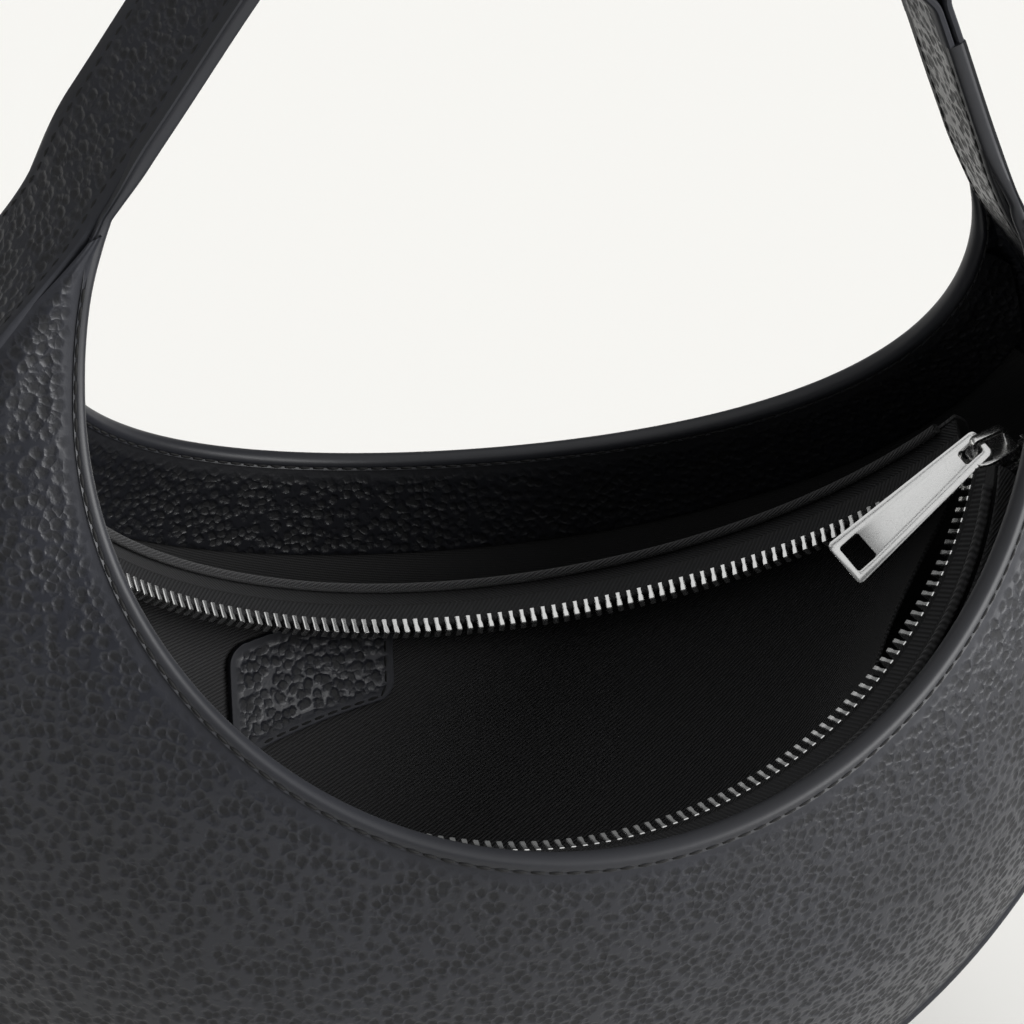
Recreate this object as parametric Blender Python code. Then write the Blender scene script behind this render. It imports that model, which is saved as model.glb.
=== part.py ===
"""Curved shoulder handbag, standing with its mouth open.

Metres, +Z up, +X to the end where the zip slider rests, front at -Y.
The origin is the middle of the base, on the surface that the bag stands on.
"""

import math

import bmesh
import bpy
import numpy as np

# Driving dimensions of the bag body and its strap
BODY_WIDTH = 0.272
BASE_LENGTH = 0.052
BASE_DEPTH = 0.084
FORK_HEIGHT = 0.222
FORK_SPREAD = 0.188
STRAP_TOP_HEIGHT = 0.332
STRAP_WIDTH = 0.022
RIM_DIP = 0.103
RIM_SPREAD = 0.1834
RIM_BULGE = 0.083
PANEL_BULGE = 0.008

# How far each rim stands from the middle, and how much further out and higher it leans to its right
MOUTH_FRONT_REACH = 0.0820
MOUTH_BACK_REACH = 0.0807
FRONT_RIM_LEAN_OUT = 0.0057
FRONT_RIM_LEAN_UP = 0.0208
BACK_RIM_LEAN_OUT = -0.0256
BACK_RIM_LEAN_UP = 0.0128

# Sheet thicknesses
PANEL_LEATHER = 0.0020
GUSSET_LEATHER = 0.0022
FACING_LEATHER = 0.0016
STRAP_LEATHER = 0.0018
STRAP_LINING = 0.0016
LINING_CLOTH = 0.0008
POUCH_CLOTH = 0.0009
BOARD_THICKNESS = 0.0015
TAPE_THICKNESS = 0.0008
SEAT_GAP = 0.0003

# Trim
BINDING_HEIGHT = 0.0033
BINDING_WALL = 0.0003
FACING_DEPTH = 0.028
FACING_STOP = 0.009
SIDE_FACING_LOW = 0.168
LINING_HEM = 0.004
BOARD_LENGTH = 0.076
BOARD_MARGIN = 0.004
SEAM_ALLOWANCE = 0.0010

# Ring, the strap's hinge line below it, and leather loops
RING_WIRE = 0.0044
RING_PITCH = 0.0145
RING_LOW_HEIGHT = 0.271
RING_RISE = 0.026
STRAP_BEND_HEIGHT = RING_LOW_HEIGHT - RING_RISE
RING_SIDE_GAP = 0.0004
LOOP_EASE = 0.0008
LOOP_LEG = 0.017
LOOP_TAPER = 0.009

# Zip
ZIP_END_SPACE = 0.034
ZIP_HALF_CHORD = BODY_WIDTH / 2 - ZIP_END_SPACE
ZIP_SAG = 0.0735
ZIP_HEIGHT = 0.1535
ZIP_OPEN_ANGLE = math.radians(34)
TOOTH_PITCH = 0.0025
TOOTH_THICKNESS = 0.0012
TOOTH_TIP = 0.0002
BEAD_NEAR = 0.0024
BEAD_FAR = 0.0038
TOOTH_HEIGHT = 0.0026
TAPE_WIDTH = 0.0085
STOP_LENGTH = 0.0032

# Slider and puller
SLIDER_TILT = math.radians(25)
SLIDER_LENGTH = 0.0105
SLIDER_WIDTH = 0.0094
SLIDER_REAR_WIDTH = 0.0074
SLIDER_PLATE = 0.0010
SLIDER_CAVITY = 0.0032
SLIDER_POST_LENGTH = 0.0022
SLIDER_POST_WIDTH = 0.0016
SLIDER_LIP = 0.0009
BRIDGE_LENGTH = 0.0084
BRIDGE_WIDTH = 0.0024
BRIDGE_THICKNESS = 0.0010
BRIDGE_CLEAR_HEIGHT = 0.0031
PULLER_LENGTH = 0.040
PULLER_WIDE = 0.0120
PULLER_NARROW = 0.0072
PULLER_THICKNESS = 0.0014
PULLER_DROP = math.radians(47)
PULLER_PIVOT_HEIGHT = 0.0023
PULLER_PIVOT_AHEAD = 0.0018
PULLER_WINDOW_LENGTH = 0.0047
PULLER_WINDOW_WIDTH = 0.0034
PULLER_HOLE_LENGTH = 0.0052
PULLER_HOLE_WIDTH = 0.0070
PULLER_HOLE_MARGIN = 0.0018
CHAIN_END_LENGTH = 0.0135
CHAIN_END_WIDTH = 0.0044

# Pouch
POUCH_BOTTOM_HEIGHT = 0.020
POUCH_TAPER = 0.012
POUCH_BOTTOM_HALF_WIDTH = ZIP_HALF_CHORD - POUCH_TAPER
POUCH_BELLY = 0.014
POUCH_FALL = 0.020
PIPING_RADIUS = 0.0011
PATCH_LENGTH = 0.040
PATCH_HEIGHT = 0.024
PATCH_THICKNESS = 0.0014
PATCH_END = -0.017
TAB_WIDTH = 0.013
TAB_THICKNESS = 0.0016

# Half outline of bag and strap: (x, z) as shares of half the body width and of the fork height,
# then of half the fork spread and of the strap's rise above the forks.
BODY_OUTLINE_SHARES = (
    (0.430, 0.040),
    (0.640, 0.122),
    (0.808, 0.228),
    (0.935, 0.368),
    (1.000, 0.540),
    (0.975, 0.710),
    (0.872, 0.868),
)
STRAP_OUTLINE_SHARES = ((0.700, 0.440), (0.400, 0.830))

# How the rim's depth and height ease from the forks to its middle
RIM_DEPTH_EASE_SHARE = 0.18
RIM_HEIGHT_EASE_SHARE = 0.92
GUSSET_TAPER_POWER = 1.1

# How far down a short column at the forks the binding reaches, and where its rounded crest begins
BINDING_SHARE = 0.45
BINDING_SHOULDER_SHARE = 0.4
BINDING_CROWN_SHARE = 0.25

# Pouch ends as a share of its full drop, and how much of the zip's arc the piping follows
POUCH_END_SHARE = 0.45
PIPING_REACH_SHARE = 0.96
RING_CORNER_SHARE = 0.75

# Numbers of stations
PANEL_COLUMNS = 32
PANEL_ROWS = 9
LINING_ROWS = 6
FACING_ROWS = 3
BAND_STATIONS = 44
STRAP_STATIONS = 30
STUB_STATIONS = 9
ZIP_STATIONS = 40
POUCH_ROWS = 4
CURVE_FINENESS = 40
LOOP_STEPS = 8
CORNER_STEPS = 4
ROUND_SIDES = 8
PATCH_COLUMNS = 5
PATCH_ROWS = 3

# Finishes: colour, roughness, metallic
LEATHER_BLACK = ((0.018, 0.019, 0.021, 1), 0.55, 0.0)
LEATHER_EDGE = ((0.030, 0.031, 0.034, 1), 0.45, 0.0)
CLOTH_BLACK = ((0.006, 0.006, 0.007, 1), 0.85, 0.0)
TAPE_BLACK = ((0.010, 0.010, 0.011, 1), 0.80, 0.0)
BOARD_GREY = ((0.180, 0.170, 0.160, 1), 0.90, 0.0)
SILVER = ((0.760, 0.760, 0.750, 1), 0.18, 1.0)


def clear_scene():
    for old in list(bpy.data.objects):
        bpy.data.objects.remove(old)


def make_material(name, finish):
    colour, roughness, metallic = finish
    material = bpy.data.materials.new(name)
    material.use_nodes = True
    shader = material.node_tree.nodes["Principled BSDF"]
    shader.inputs["Base Color"].default_value = colour
    shader.inputs["Roughness"].default_value = roughness
    shader.inputs["Metallic"].default_value = metallic
    return material


def world_place(obj):
    """Where an object's origin lies in the world, through its parents."""
    place = np.zeros(3)
    while obj:
        place += np.array(obj.location)
        obj = obj.parent
    return place


def add_object(name, points, faces, finish, pivot=(0, 0, 0), parent=None, smooth=True):
    """A closed mesh object whose origin lies at pivot."""
    pivot = np.array(pivot, float)
    mesh = bpy.data.meshes.new(name)
    mesh.from_pydata([tuple(np.array(p) - pivot) for p in points], [], faces)
    work = bmesh.new()
    work.from_mesh(mesh)
    bmesh.ops.triangulate(work, faces=work.faces)
    bmesh.ops.recalc_face_normals(work, faces=work.faces)
    work.to_mesh(mesh)
    work.free()
    obj = bpy.data.objects.new(name, mesh)
    bpy.context.scene.collection.objects.link(obj)
    mesh.materials.append(make_material(name + "_finish", finish))
    if smooth:
        mesh.shade_smooth()
        mesh.set_sharp_from_angle(angle=math.radians(40))
    obj.parent = parent
    obj.location = pivot - world_place(parent)
    return obj


def add_pivot(name, place, parent=None):
    """An empty on a joint's axis, which carries the pieces that move with it."""
    empty = bpy.data.objects.new(name, None)
    bpy.context.scene.collection.objects.link(empty)
    empty.parent = parent
    empty.location = np.array(place) - world_place(parent)
    return empty


def smooth_curve(points):
    """A dense curve through the points, with each tangent along its neighbours."""
    pts = np.array(points, float)
    count = len(pts)
    step = np.linalg.norm(np.diff(pts, axis=0), axis=1)
    at = np.concatenate([[0], np.cumsum(step)])
    slope = np.zeros_like(pts)
    for i in range(count):
        low, high = max(i - 1, 0), min(i + 1, count - 1)
        slope[i] = (pts[high] - pts[low]) / (at[high] - at[low])
    out = []
    for i in range(count - 1):
        length = at[i + 1] - at[i]
        for k in range(CURVE_FINENESS):
            u = k / CURVE_FINENESS
            out.append(
                (2 * u**3 - 3 * u**2 + 1) * pts[i]
                + (u**3 - 2 * u**2 + u) * length * slope[i]
                + (3 * u**2 - 2 * u**3) * pts[i + 1]
                + (u**3 - u**2) * length * slope[i + 1]
            )
    out.append(pts[-1])
    return np.array(out)


def along(curve):
    """The running length at each point of a curve."""
    return np.concatenate([[0], np.cumsum(np.linalg.norm(np.diff(curve, axis=0), axis=1))])


def resample(curve, count):
    """The same curve as count evenly spaced points."""
    length = along(curve)
    wanted = np.linspace(0, length[-1], count)
    return np.stack([np.interp(wanted, length, curve[:, k]) for k in range(curve.shape[1])], axis=1)


def half_outline():
    """(x, z) of the right half of the bag's side view, from the middle of the base to the top of the strap."""
    half = BODY_WIDTH / 2
    rise = STRAP_TOP_HEIGHT - FORK_HEIGHT
    right = [(0, 0), (BASE_LENGTH / 2, 0)]
    right += [(half * a, FORK_HEIGHT * b) for a, b in BODY_OUTLINE_SHARES]
    right += [(FORK_SPREAD / 2, FORK_HEIGHT)]
    right += [(FORK_SPREAD / 2 * a, FORK_HEIGHT + rise * b) for a, b in STRAP_OUTLINE_SHARES]
    right += [(0, STRAP_TOP_HEIGHT)]
    left = [(-x, z) for x, z in right[:0:-1]]
    beyond = [(-x, z) for x, z in right[-2:-4:-1]]
    curve = smooth_curve(left[-2:] + right + beyond)
    first = 2 * CURVE_FINENESS
    last = first + (len(right) - 1) * CURVE_FINENESS
    curve = curve[first : last + 1]
    curve[: CURVE_FINENESS + 1, 1] = 0
    curve[:, 1] = np.maximum(curve[:, 1], 0)
    return curve


OUTLINE = half_outline()
OUTLINE_RUN = along(OUTLINE)
OUTLINE_LENGTH = OUTLINE_RUN[-1]


def run_at_height(height):
    return float(np.interp(height, OUTLINE[:, 1], OUTLINE_RUN))


def loop_point(run):
    """(x, z) at a signed distance from the middle of the base, positive to +X, on round the strap's top."""
    run = (run + OUTLINE_LENGTH) % (2 * OUTLINE_LENGTH) - OUTLINE_LENGTH
    x = np.interp(abs(run), OUTLINE_RUN, OUTLINE[:, 0])
    z = np.interp(abs(run), OUTLINE_RUN, OUTLINE[:, 1])
    return np.array([math.copysign(x, run), z])


def loop_frame(run):
    """The loop's point, its direction and its outward normal there."""
    step = STRAP_WIDTH / CURVE_FINENESS
    forward = loop_point(run + step) - loop_point(run - step)
    forward /= np.linalg.norm(forward)
    return loop_point(run), forward, np.array([forward[1], -forward[0]])


def gusset_half_depth(height):
    """Half the gusset's depth: the strap's width at the forks, the base's depth at the bottom."""
    share = min(max(1 - height / FORK_HEIGHT, 0), 1)
    return STRAP_WIDTH / 2 + (BASE_DEPTH - STRAP_WIDTH) / 2 * share**GUSSET_TAPER_POWER


def grid_solid(outer, inner):
    """Points and faces of the solid between two equal grids, with walls round their edges."""
    rows, columns = len(outer), len(outer[0])
    points = [p for row in outer for p in row] + [p for row in inner for p in row]
    shift = rows * columns
    faces = []
    for i in range(rows - 1):
        for j in range(columns - 1):
            a, b = i * columns + j, i * columns + j + 1
            c, d = b + columns, a + columns
            faces.append((a, b, c, d))
            faces.append((a + shift, d + shift, c + shift, b + shift))
    border = list(range(columns))
    border += [i * columns + columns - 1 for i in range(1, rows)]
    border += [(rows - 1) * columns + j for j in range(columns - 2, -1, -1)]
    border += [i * columns for i in range(rows - 2, 0, -1)]
    for a, b in zip(border, border[1:] + border[:1]):
        faces.append((a, a + shift, b + shift, b))
    return points, faces


def tube_solid(rings, closed=False):
    """Points and faces of a solid lofted through equal rings, with flat ends unless it closes on itself."""
    size = len(rings[0])
    points = [p for ring in rings for p in ring]
    faces = []
    pairs = list(zip(range(len(rings) - 1), range(1, len(rings))))
    if closed:
        pairs.append((len(rings) - 1, 0))
    for i, j in pairs:
        for k in range(size):
            n = (k + 1) % size
            faces.append((i * size + k, i * size + n, j * size + n, j * size + k))
    if not closed:
        faces.append(tuple(range(size)))
        faces.append(tuple((len(rings) - 1) * size + k for k in range(size)))
    return points, faces


def strip_solid(stations, near, far, half_widths):
    """A band: stations of (point, outward normal) in the X-Z plane, a range of depths and half widths."""
    rings = []
    for (point, normal), half in zip(stations, half_widths):
        outer = point - normal * near
        inner = point - normal * far
        rings.append([
            (outer[0], -half, outer[1]),
            (outer[0], half, outer[1]),
            (inner[0], half, inner[1]),
            (inner[0], -half, inner[1]),
        ])
    return tube_solid(rings)


def gusset_top_run():
    """Where the gusset ends on the loop, just below the strap's rounded end."""
    return run_at_height(STRAP_BEND_HEIGHT - STRAP_WIDTH / 2 - SEAT_GAP)


def band_runs(start, stop):
    """The gusset's own stations between two places on the loop, so that nested bands stay parallel."""
    top = gusset_top_run()
    shared = np.linspace(-top, top, BAND_STATIONS)
    step = shared[1] - shared[0]
    inner = [run for run in shared if start + step / 4 < run < stop - step / 4]
    return [start] + inner + [stop]


def loop_stations(runs):
    frames = [loop_frame(run) for run in runs]
    return [(point, normal) for point, forward, normal in frames]


# Front and back panels, rims and facings


def seam_point(run):
    """Where a panel's outer face meets the gusset, on the front side."""
    point, forward, normal = loop_frame(run)
    point = point - normal * SEAM_ALLOWANCE
    depth = gusset_half_depth(point[1]) + SEAT_GAP + PANEL_LEATHER
    return np.array([point[0], -depth, point[1]])


def rim_curve(count, side):
    """The crest of one rim, from the left fork to the right one, evenly spaced, as if it were in front."""
    mouth_reach, lean_out, lean_up = RIMS[side]
    u = np.linspace(-1, 1, 4 * count)
    q = 1 - u**2
    at_fork = STRAP_WIDTH / 2 + SEAT_GAP + PANEL_LEATHER
    reach = mouth_reach - at_fork
    x = RIM_SPREAD / 2 * u + RIM_BULGE * u * q
    out = reach * (RIM_DEPTH_EASE_SHARE * q + (1 - RIM_DEPTH_EASE_SHARE) * q**2)
    down = RIM_DIP * (RIM_HEIGHT_EASE_SHARE * q + (1 - RIM_HEIGHT_EASE_SHARE) * q**2)
    y = -(at_fork + out + lean_out * u * q)
    z = FORK_HEIGHT - down + lean_up * u * q
    return resample(np.stack([x, y, z], axis=1), count)


def panel_surface(side):
    """One panel's outer face as if in front: columns from fork to fork, each a dense line from seam to crest."""
    count = PANEL_COLUMNS + 1
    fork_run = run_at_height(FORK_HEIGHT)
    rim = rim_curve(count, side)
    seam = np.array([seam_point(run) for run in np.linspace(-fork_run, fork_run, count)])
    middle = (seam + rim) / 2
    columns = []
    for i in range(count):
        before, after = middle[max(i - 1, 0)], middle[min(i + 1, count - 1)]
        out = np.cross(rim[i] - seam[i], after - before)
        out /= np.linalg.norm(out)
        out *= 1 if out[1] < 0 else -1
        span = np.linalg.norm(rim[i] - seam[i])
        bulge = PANEL_BULGE * min(span / RIM_DIP, 1)
        v = np.linspace(0, 1, CURVE_FINENESS)[:, None]
        columns.append(seam[i] * (1 - v) + rim[i] * v + out * bulge * 4 * v * (1 - v))
    return columns


def grid_normals(grid):
    """Normals of a grid on the front half, pointing to the front."""
    along_rim = np.gradient(grid, axis=0)
    up = np.gradient(grid, axis=1)
    normal = np.cross(along_rim, up)
    normal /= np.linalg.norm(normal, axis=2, keepdims=True)
    normal *= np.where(normal[..., 1:2] < 0, 1, -1)
    return normal


def steadied_normals(grid, spans):
    """Grid normals whose short columns at the forks share one direction."""
    normals = grid_normals(grid)
    for i, span in enumerate(spans):
        share = min(span / FACING_DEPTH, 1)
        middle = normals[i].mean(axis=0)
        normals[i] = normals[i] * share + middle / np.linalg.norm(middle) * (1 - share)
    return normals / np.linalg.norm(normals, axis=2, keepdims=True)


def panel_shape(side):
    """One panel's lines, their lengths and their normals."""
    lines = np.array(panel_surface(side))
    spans = [along(line)[-1] for line in lines]
    return lines, spans, steadied_normals(lines, spans)


RIMS = {
    "front": (MOUTH_FRONT_REACH, FRONT_RIM_LEAN_OUT, FRONT_RIM_LEAN_UP),
    "back": (MOUTH_BACK_REACH, BACK_RIM_LEAN_OUT, BACK_RIM_LEAN_UP),
}
PANELS = {side: panel_shape(side) for side in RIMS}


def panel_place(side, i, down, depth):
    """A point of a panel's column i, a running length down from the crest, below the outer face."""
    lines, spans, normals = PANELS[side]
    line, normal = lines[i][::-1], normals[i][::-1]
    run = along(line)
    point = np.array([np.interp(down, run, line[:, k]) for k in range(3)])
    out = np.array([np.interp(down, run, normal[:, k]) for k in range(3)])
    return point - out * depth


def binding_reach(span):
    """How far the rim binding comes down a column of this length."""
    return min(BINDING_HEIGHT, span * BINDING_SHARE)


def mirrored(points):
    return [(x, -y, z) for x, y, z in points]


def on_side(side, points):
    return points if side == "front" else mirrored(points)


def add_sheet_pair(name, shortest, start, stop, rows, near, far, finish):
    """A front and a back sheet over the longer columns. start and stop give a column's range from the crest."""
    for side, (lines, spans, normals) in PANELS.items():
        outer, inner = [], []
        for i, span in enumerate(spans):
            if span <= shortest:
                continue
            downs = np.linspace(start(span), stop(span), rows + 1)
            outer.append([panel_place(side, i, down, near) for down in downs])
            inner.append([panel_place(side, i, down, far) for down in downs])
        points, faces = grid_solid(outer, inner)
        add_object(side + "_" + name, on_side(side, points), faces, finish)


def add_panels():
    add_sheet_pair(
        "panel",
        0,
        lambda span: binding_reach(span) + SEAT_GAP,
        lambda span: span,
        PANEL_ROWS,
        0,
        PANEL_LEATHER,
        LEATHER_BLACK,
    )


def add_facings_and_linings():
    top = BINDING_HEIGHT + SEAT_GAP
    near = PANEL_LEATHER + SEAT_GAP
    low = top + FACING_DEPTH
    add_sheet_pair(
        "facing",
        top + FACING_STOP * 2,
        lambda span: top,
        lambda span: min(low, span - FACING_STOP),
        FACING_ROWS,
        near,
        near + FACING_LEATHER,
        LEATHER_BLACK,
    )
    add_sheet_pair(
        "lining",
        low + LINING_HEM * 3,
        lambda span: low + SEAT_GAP,
        lambda span: span - LINING_HEM,
        LINING_ROWS,
        near,
        near + LINING_CLOTH,
        CLOTH_BLACK,
    )


def add_bindings():
    """A rounded leather binding along each rim, over the edges of panel and facing."""
    for side, (lines, spans, normals) in PANELS.items():
        rings = []
        for i, span in enumerate(spans):
            height = binding_reach(span)
            shoulder = height * BINDING_SHOULDER_SHARE
            grown = min(max((span - FACING_STOP) / FACING_STOP, 0), 1)
            wall = BINDING_WALL * grown
            deep = PANEL_LEATHER + grown * (SEAT_GAP + FACING_LEATHER)
            profile = (
                (height, -wall),
                (shoulder, -wall),
                (0, deep * BINDING_CROWN_SHARE),
                (0, deep * (1 - BINDING_CROWN_SHARE)),
                (shoulder, deep + wall),
                (height, deep + wall),
            )
            rings.append([panel_place(side, i, down, depth) for down, depth in profile])
        points, faces = tube_solid(rings)
        add_object(side + "_rim_binding", on_side(side, points), faces, LEATHER_EDGE)


# Gusset, its linings and the base board


def add_gusset():
    top_run = gusset_top_run()
    stations = loop_stations(band_runs(-top_run, top_run))
    halves = [gusset_half_depth(point[1]) for point, normal in stations]
    points, faces = strip_solid(stations, 0, GUSSET_LEATHER, halves)
    add_object("gusset_band", points, faces, LEATHER_BLACK)

    low_run = run_at_height(SIDE_FACING_LOW)
    near = GUSSET_LEATHER + SEAT_GAP
    for name, runs in (
        ("left_side_facing", band_runs(-top_run, -low_run)),
        ("right_side_facing", band_runs(low_run, top_run)),
    ):
        stations = loop_stations(runs)
        halves = [gusset_half_depth(point[1]) - SEAM_ALLOWANCE for point, normal in stations]
        points, faces = strip_solid(stations, near, near + FACING_LEATHER, halves)
        add_object(name, points, faces, LEATHER_BLACK)

    hem_run = run_at_height(SIDE_FACING_LOW - LINING_HEM)
    near = GUSSET_LEATHER + BOARD_THICKNESS + 2 * SEAT_GAP
    stations = loop_stations(band_runs(-hem_run, hem_run))
    halves = [gusset_half_depth(point[1]) - BOARD_MARGIN / 2 for point, normal in stations]
    points, faces = strip_solid(stations, near, near + LINING_CLOTH, halves)
    add_object("gusset_lining", points, faces, CLOTH_BLACK)


def add_base_board():
    half_run = BOARD_LENGTH / 2
    stations = loop_stations(band_runs(-half_run, half_run))
    near = GUSSET_LEATHER + SEAT_GAP
    halves = [gusset_half_depth(0) - BOARD_MARGIN] * len(stations)
    points, faces = strip_solid(stations, near, near + BOARD_THICKNESS, halves)
    add_object("base_board", points, faces, BOARD_GREY)


# Strap: a long piece and a short piece that meet at a metal ring


def strap_half_width(height):
    """Half the strap's width. Below the bend line its end is round, so that it can swing over the stub."""
    below = max(STRAP_BEND_HEIGHT - height, 0)
    radius = STRAP_WIDTH / 2
    return math.sqrt(max(radius**2 - below**2, 0))


def ring_run():
    """Where the ring's lower bar lies on the loop, and its middle depth below the outer face."""
    return run_at_height(RING_LOW_HEIGHT), (STRAP_LEATHER + SEAT_GAP + STRAP_LINING) / 2


def eased(share):
    return share * share * (3 - 2 * share)


def loop_end(bar_run, way):
    """Stations of a strap end folded round a bar: way is 1 where the strap comes from below, -1 from above."""
    middle = ring_run()[1]
    fold = RING_WIRE / 2 + LOOP_EASE + STRAP_LEATHER / 2
    outer = STRAP_LEATHER / 2
    inner = STRAP_LEATHER + SEAT_GAP + STRAP_LEATHER / 2
    local = []
    for share in np.linspace(0, 1, LOOP_STEPS // 2 + 1):
        local.append((-LOOP_TAPER * (1 - share), outer + (middle - fold - outer) * eased(share)))
    for k in range(1, LOOP_STEPS):
        angle = math.pi * k / LOOP_STEPS
        local.append((fold * math.sin(angle), middle - fold * math.cos(angle)))
    for share in np.linspace(0, 1, LOOP_STEPS // 2 + 1):
        local.append((-LOOP_TAPER * share, middle + fold + (inner - middle - fold) * eased(share)))
    local.append((-LOOP_LEG, inner))
    return [(bar_run + way * ahead, depth) for ahead, depth in local]


def sheet_along(path, half_widths, thickness):
    """A band whose middle follows a path in the X-Z plane."""
    path = np.array(path)
    forward = np.gradient(path, axis=0)
    forward /= np.linalg.norm(forward, axis=1, keepdims=True)
    normal = np.stack([forward[:, 1], -forward[:, 0]], axis=1)
    return strip_solid(list(zip(path, normal)), -thickness / 2, thickness / 2, half_widths)


def on_loop(run, depth):
    point, forward, normal = loop_frame(run)
    return point - normal * depth


def add_strap(pivot):
    bar = ring_run()[0]
    low_run = run_at_height(STRAP_BEND_HEIGHT - STRAP_WIDTH / 2 + SEAT_GAP)
    centre = world_place(pivot)

    def pieces(runs_and_depths, name, thickness, finish):
        path = [on_loop(run, depth) for run, depth in runs_and_depths]
        halves = [max(strap_half_width(p[1]), SEAM_ALLOWANCE) for p in path]
        points, faces = sheet_along(path, halves, thickness)
        add_object(name, points, faces, finish, centre, pivot)

    outer = STRAP_LEATHER / 2
    lining_depth = STRAP_LEATHER + SEAT_GAP + STRAP_LINING / 2

    short = [(run, outer) for run in np.linspace(low_run, bar - LOOP_TAPER, STUB_STATIONS)[:-1]]
    pieces(short + loop_end(bar, 1), "strap_short", STRAP_LEATHER, LEATHER_BLACK)
    short_stop = bar - LOOP_LEG - SEAT_GAP
    short = [(run, lining_depth) for run in np.linspace(low_run, short_stop, STUB_STATIONS)]
    pieces(short, "strap_short_lining", STRAP_LINING, LEATHER_BLACK)

    high_bar = bar + RING_PITCH
    start = 2 * OUTLINE_LENGTH - low_run
    runs = np.linspace(start, high_bar + LOOP_TAPER, STRAP_STATIONS)
    long = [(run, outer) for run in runs[:-1]]
    pieces(long + loop_end(high_bar, -1), "strap_long", STRAP_LEATHER, LEATHER_BLACK)
    runs = np.linspace(start, high_bar + LOOP_LEG + SEAT_GAP, STRAP_STATIONS)
    pieces([(run, lining_depth) for run in runs], "strap_long_lining", STRAP_LINING, LEATHER_BLACK)


def add_ring(parent):
    """A rectangular ring of round wire: lower bar in the short strap's fold, upper bar in the long one's."""
    bar, middle = ring_run()
    low = on_loop(bar, middle)
    high = on_loop(bar + RING_PITCH, middle)
    ahead = (high - low) / np.linalg.norm(high - low)
    out = np.array([ahead[1], -ahead[0]])
    pitch = np.linalg.norm(high - low)
    half = STRAP_WIDTH / 2 + RING_SIDE_GAP + RING_WIRE / 2
    corner = RING_WIRE * RING_CORNER_SHARE
    path = []
    for sy, sx in ((1, 0), (1, 1), (-1, 1), (-1, 0)):
        for angle in np.linspace(0, math.pi / 2, CORNER_STEPS):
            cos, sin = math.cos(angle), math.sin(angle)
            if (sy > 0) == (sx == 0):
                cos, sin = sin, cos
            along_y = sy * (half - corner + corner * cos)
            along_s = (pitch - corner + corner * sin) if sx else (corner - corner * sin)
            path.append((along_y, along_s))
    path = np.array(path)
    rings = []
    for i in range(len(path)):
        step = path[(i + 1) % len(path)] - path[i - 1]
        step /= np.linalg.norm(step)
        side = np.array([step[1], -step[0]])
        ring = []
        for k in range(ROUND_SIDES):
            angle = 2 * math.pi * (k + 0.5) / ROUND_SIDES
            in_plane = path[i] + side * RING_WIRE / 2 * math.cos(angle)
            flat = low + ahead * in_plane[1] + out * RING_WIRE / 2 * math.sin(angle)
            ring.append((flat[0], in_plane[0], flat[1]))
        rings.append(ring)
    points, faces = tube_solid(rings, closed=True)
    centre = (low[0], 0, low[1])
    pivot = add_pivot("ring_pivot", centre, parent)
    add_object("strap_ring", points, faces, SILVER, centre, pivot)


# Zip: two tooth rows on tapes, which swing together about the line through the zip's ends


ZIP_RADIUS = (ZIP_HALF_CHORD**2 + ZIP_SAG**2) / (2 * ZIP_SAG)
ZIP_END_ANGLE = 2 * math.atan2(ZIP_SAG, ZIP_HALF_CHORD)


def zip_place(angle, across, lift):
    """A point of the front zip half: angle round the arc, distance from the middle, height over the row."""
    radius = ZIP_RADIUS - lift
    x = radius * math.sin(angle)
    z = -(radius * math.cos(angle) - ZIP_RADIUS * math.cos(ZIP_END_ANGLE))
    y = -across
    cos, sin = math.cos(-ZIP_OPEN_ANGLE), math.sin(-ZIP_OPEN_ANGLE)
    return (x, y * cos - z * sin, ZIP_HEIGHT + y * sin + z * cos)


def tooth_row_solid(start, stop):
    """A bead with a row of teeth towards the middle, as one solid."""
    count = int((stop - start) * ZIP_RADIUS / TOOTH_PITCH)
    pitch = (stop - start) / count
    half = TOOTH_THICKNESS / 2 / ZIP_RADIUS
    points = []
    for i in range(count):
        middle = start + pitch * (i + 0.5)
        for angle in (middle - half, middle + half):
            for lift in (TOOTH_HEIGHT / 2, -TOOTH_HEIGHT / 2):
                for across in (BEAD_FAR, BEAD_NEAR, TOOTH_TIP):
                    points.append(zip_place(angle, across, lift))
    faces = []
    for i in range(2 * count - 1):
        a, b = 6 * i, 6 * (i + 1)
        faces.append((a, a + 1, b + 1, b))
        faces.append((a + 3, b + 3, b + 4, a + 4))
        faces.append((a, b, b + 3, a + 3))
        if i % 2 == 0:
            faces.append((a + 1, a + 2, b + 2, b + 1))
            faces.append((a + 4, b + 4, b + 5, a + 5))
            faces.append((a + 2, a + 5, b + 5, b + 2))
            faces.append((a + 1, a + 4, a + 5, a + 2))
            faces.append((b + 1, b + 2, b + 5, b + 4))
        else:
            faces.append((a + 1, a + 4, b + 4, b + 1))
    last = 6 * (2 * count - 1)
    faces.append((0, 3, 4, 1))
    faces.append((last, last + 1, last + 4, last + 3))
    return points, faces


def box_solid(place, ranges):
    """A box in a frame given by place(a, b, c), over three ranges."""
    rings = []
    for a in ranges[0]:
        rings.append([place(a, b, c) for b, c in (
            (ranges[1][0], ranges[2][0]),
            (ranges[1][1], ranges[2][0]),
            (ranges[1][1], ranges[2][1]),
            (ranges[1][0], ranges[2][1]),
        )])
    return tube_solid(rings)


def zip_angles():
    """Stations round the row's arc, shared by the tape, the piping and the pouch wall."""
    return np.linspace(-ZIP_END_ANGLE, ZIP_END_ANGLE - 2 * SEAT_GAP / ZIP_RADIUS, ZIP_STATIONS + 1)


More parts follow.
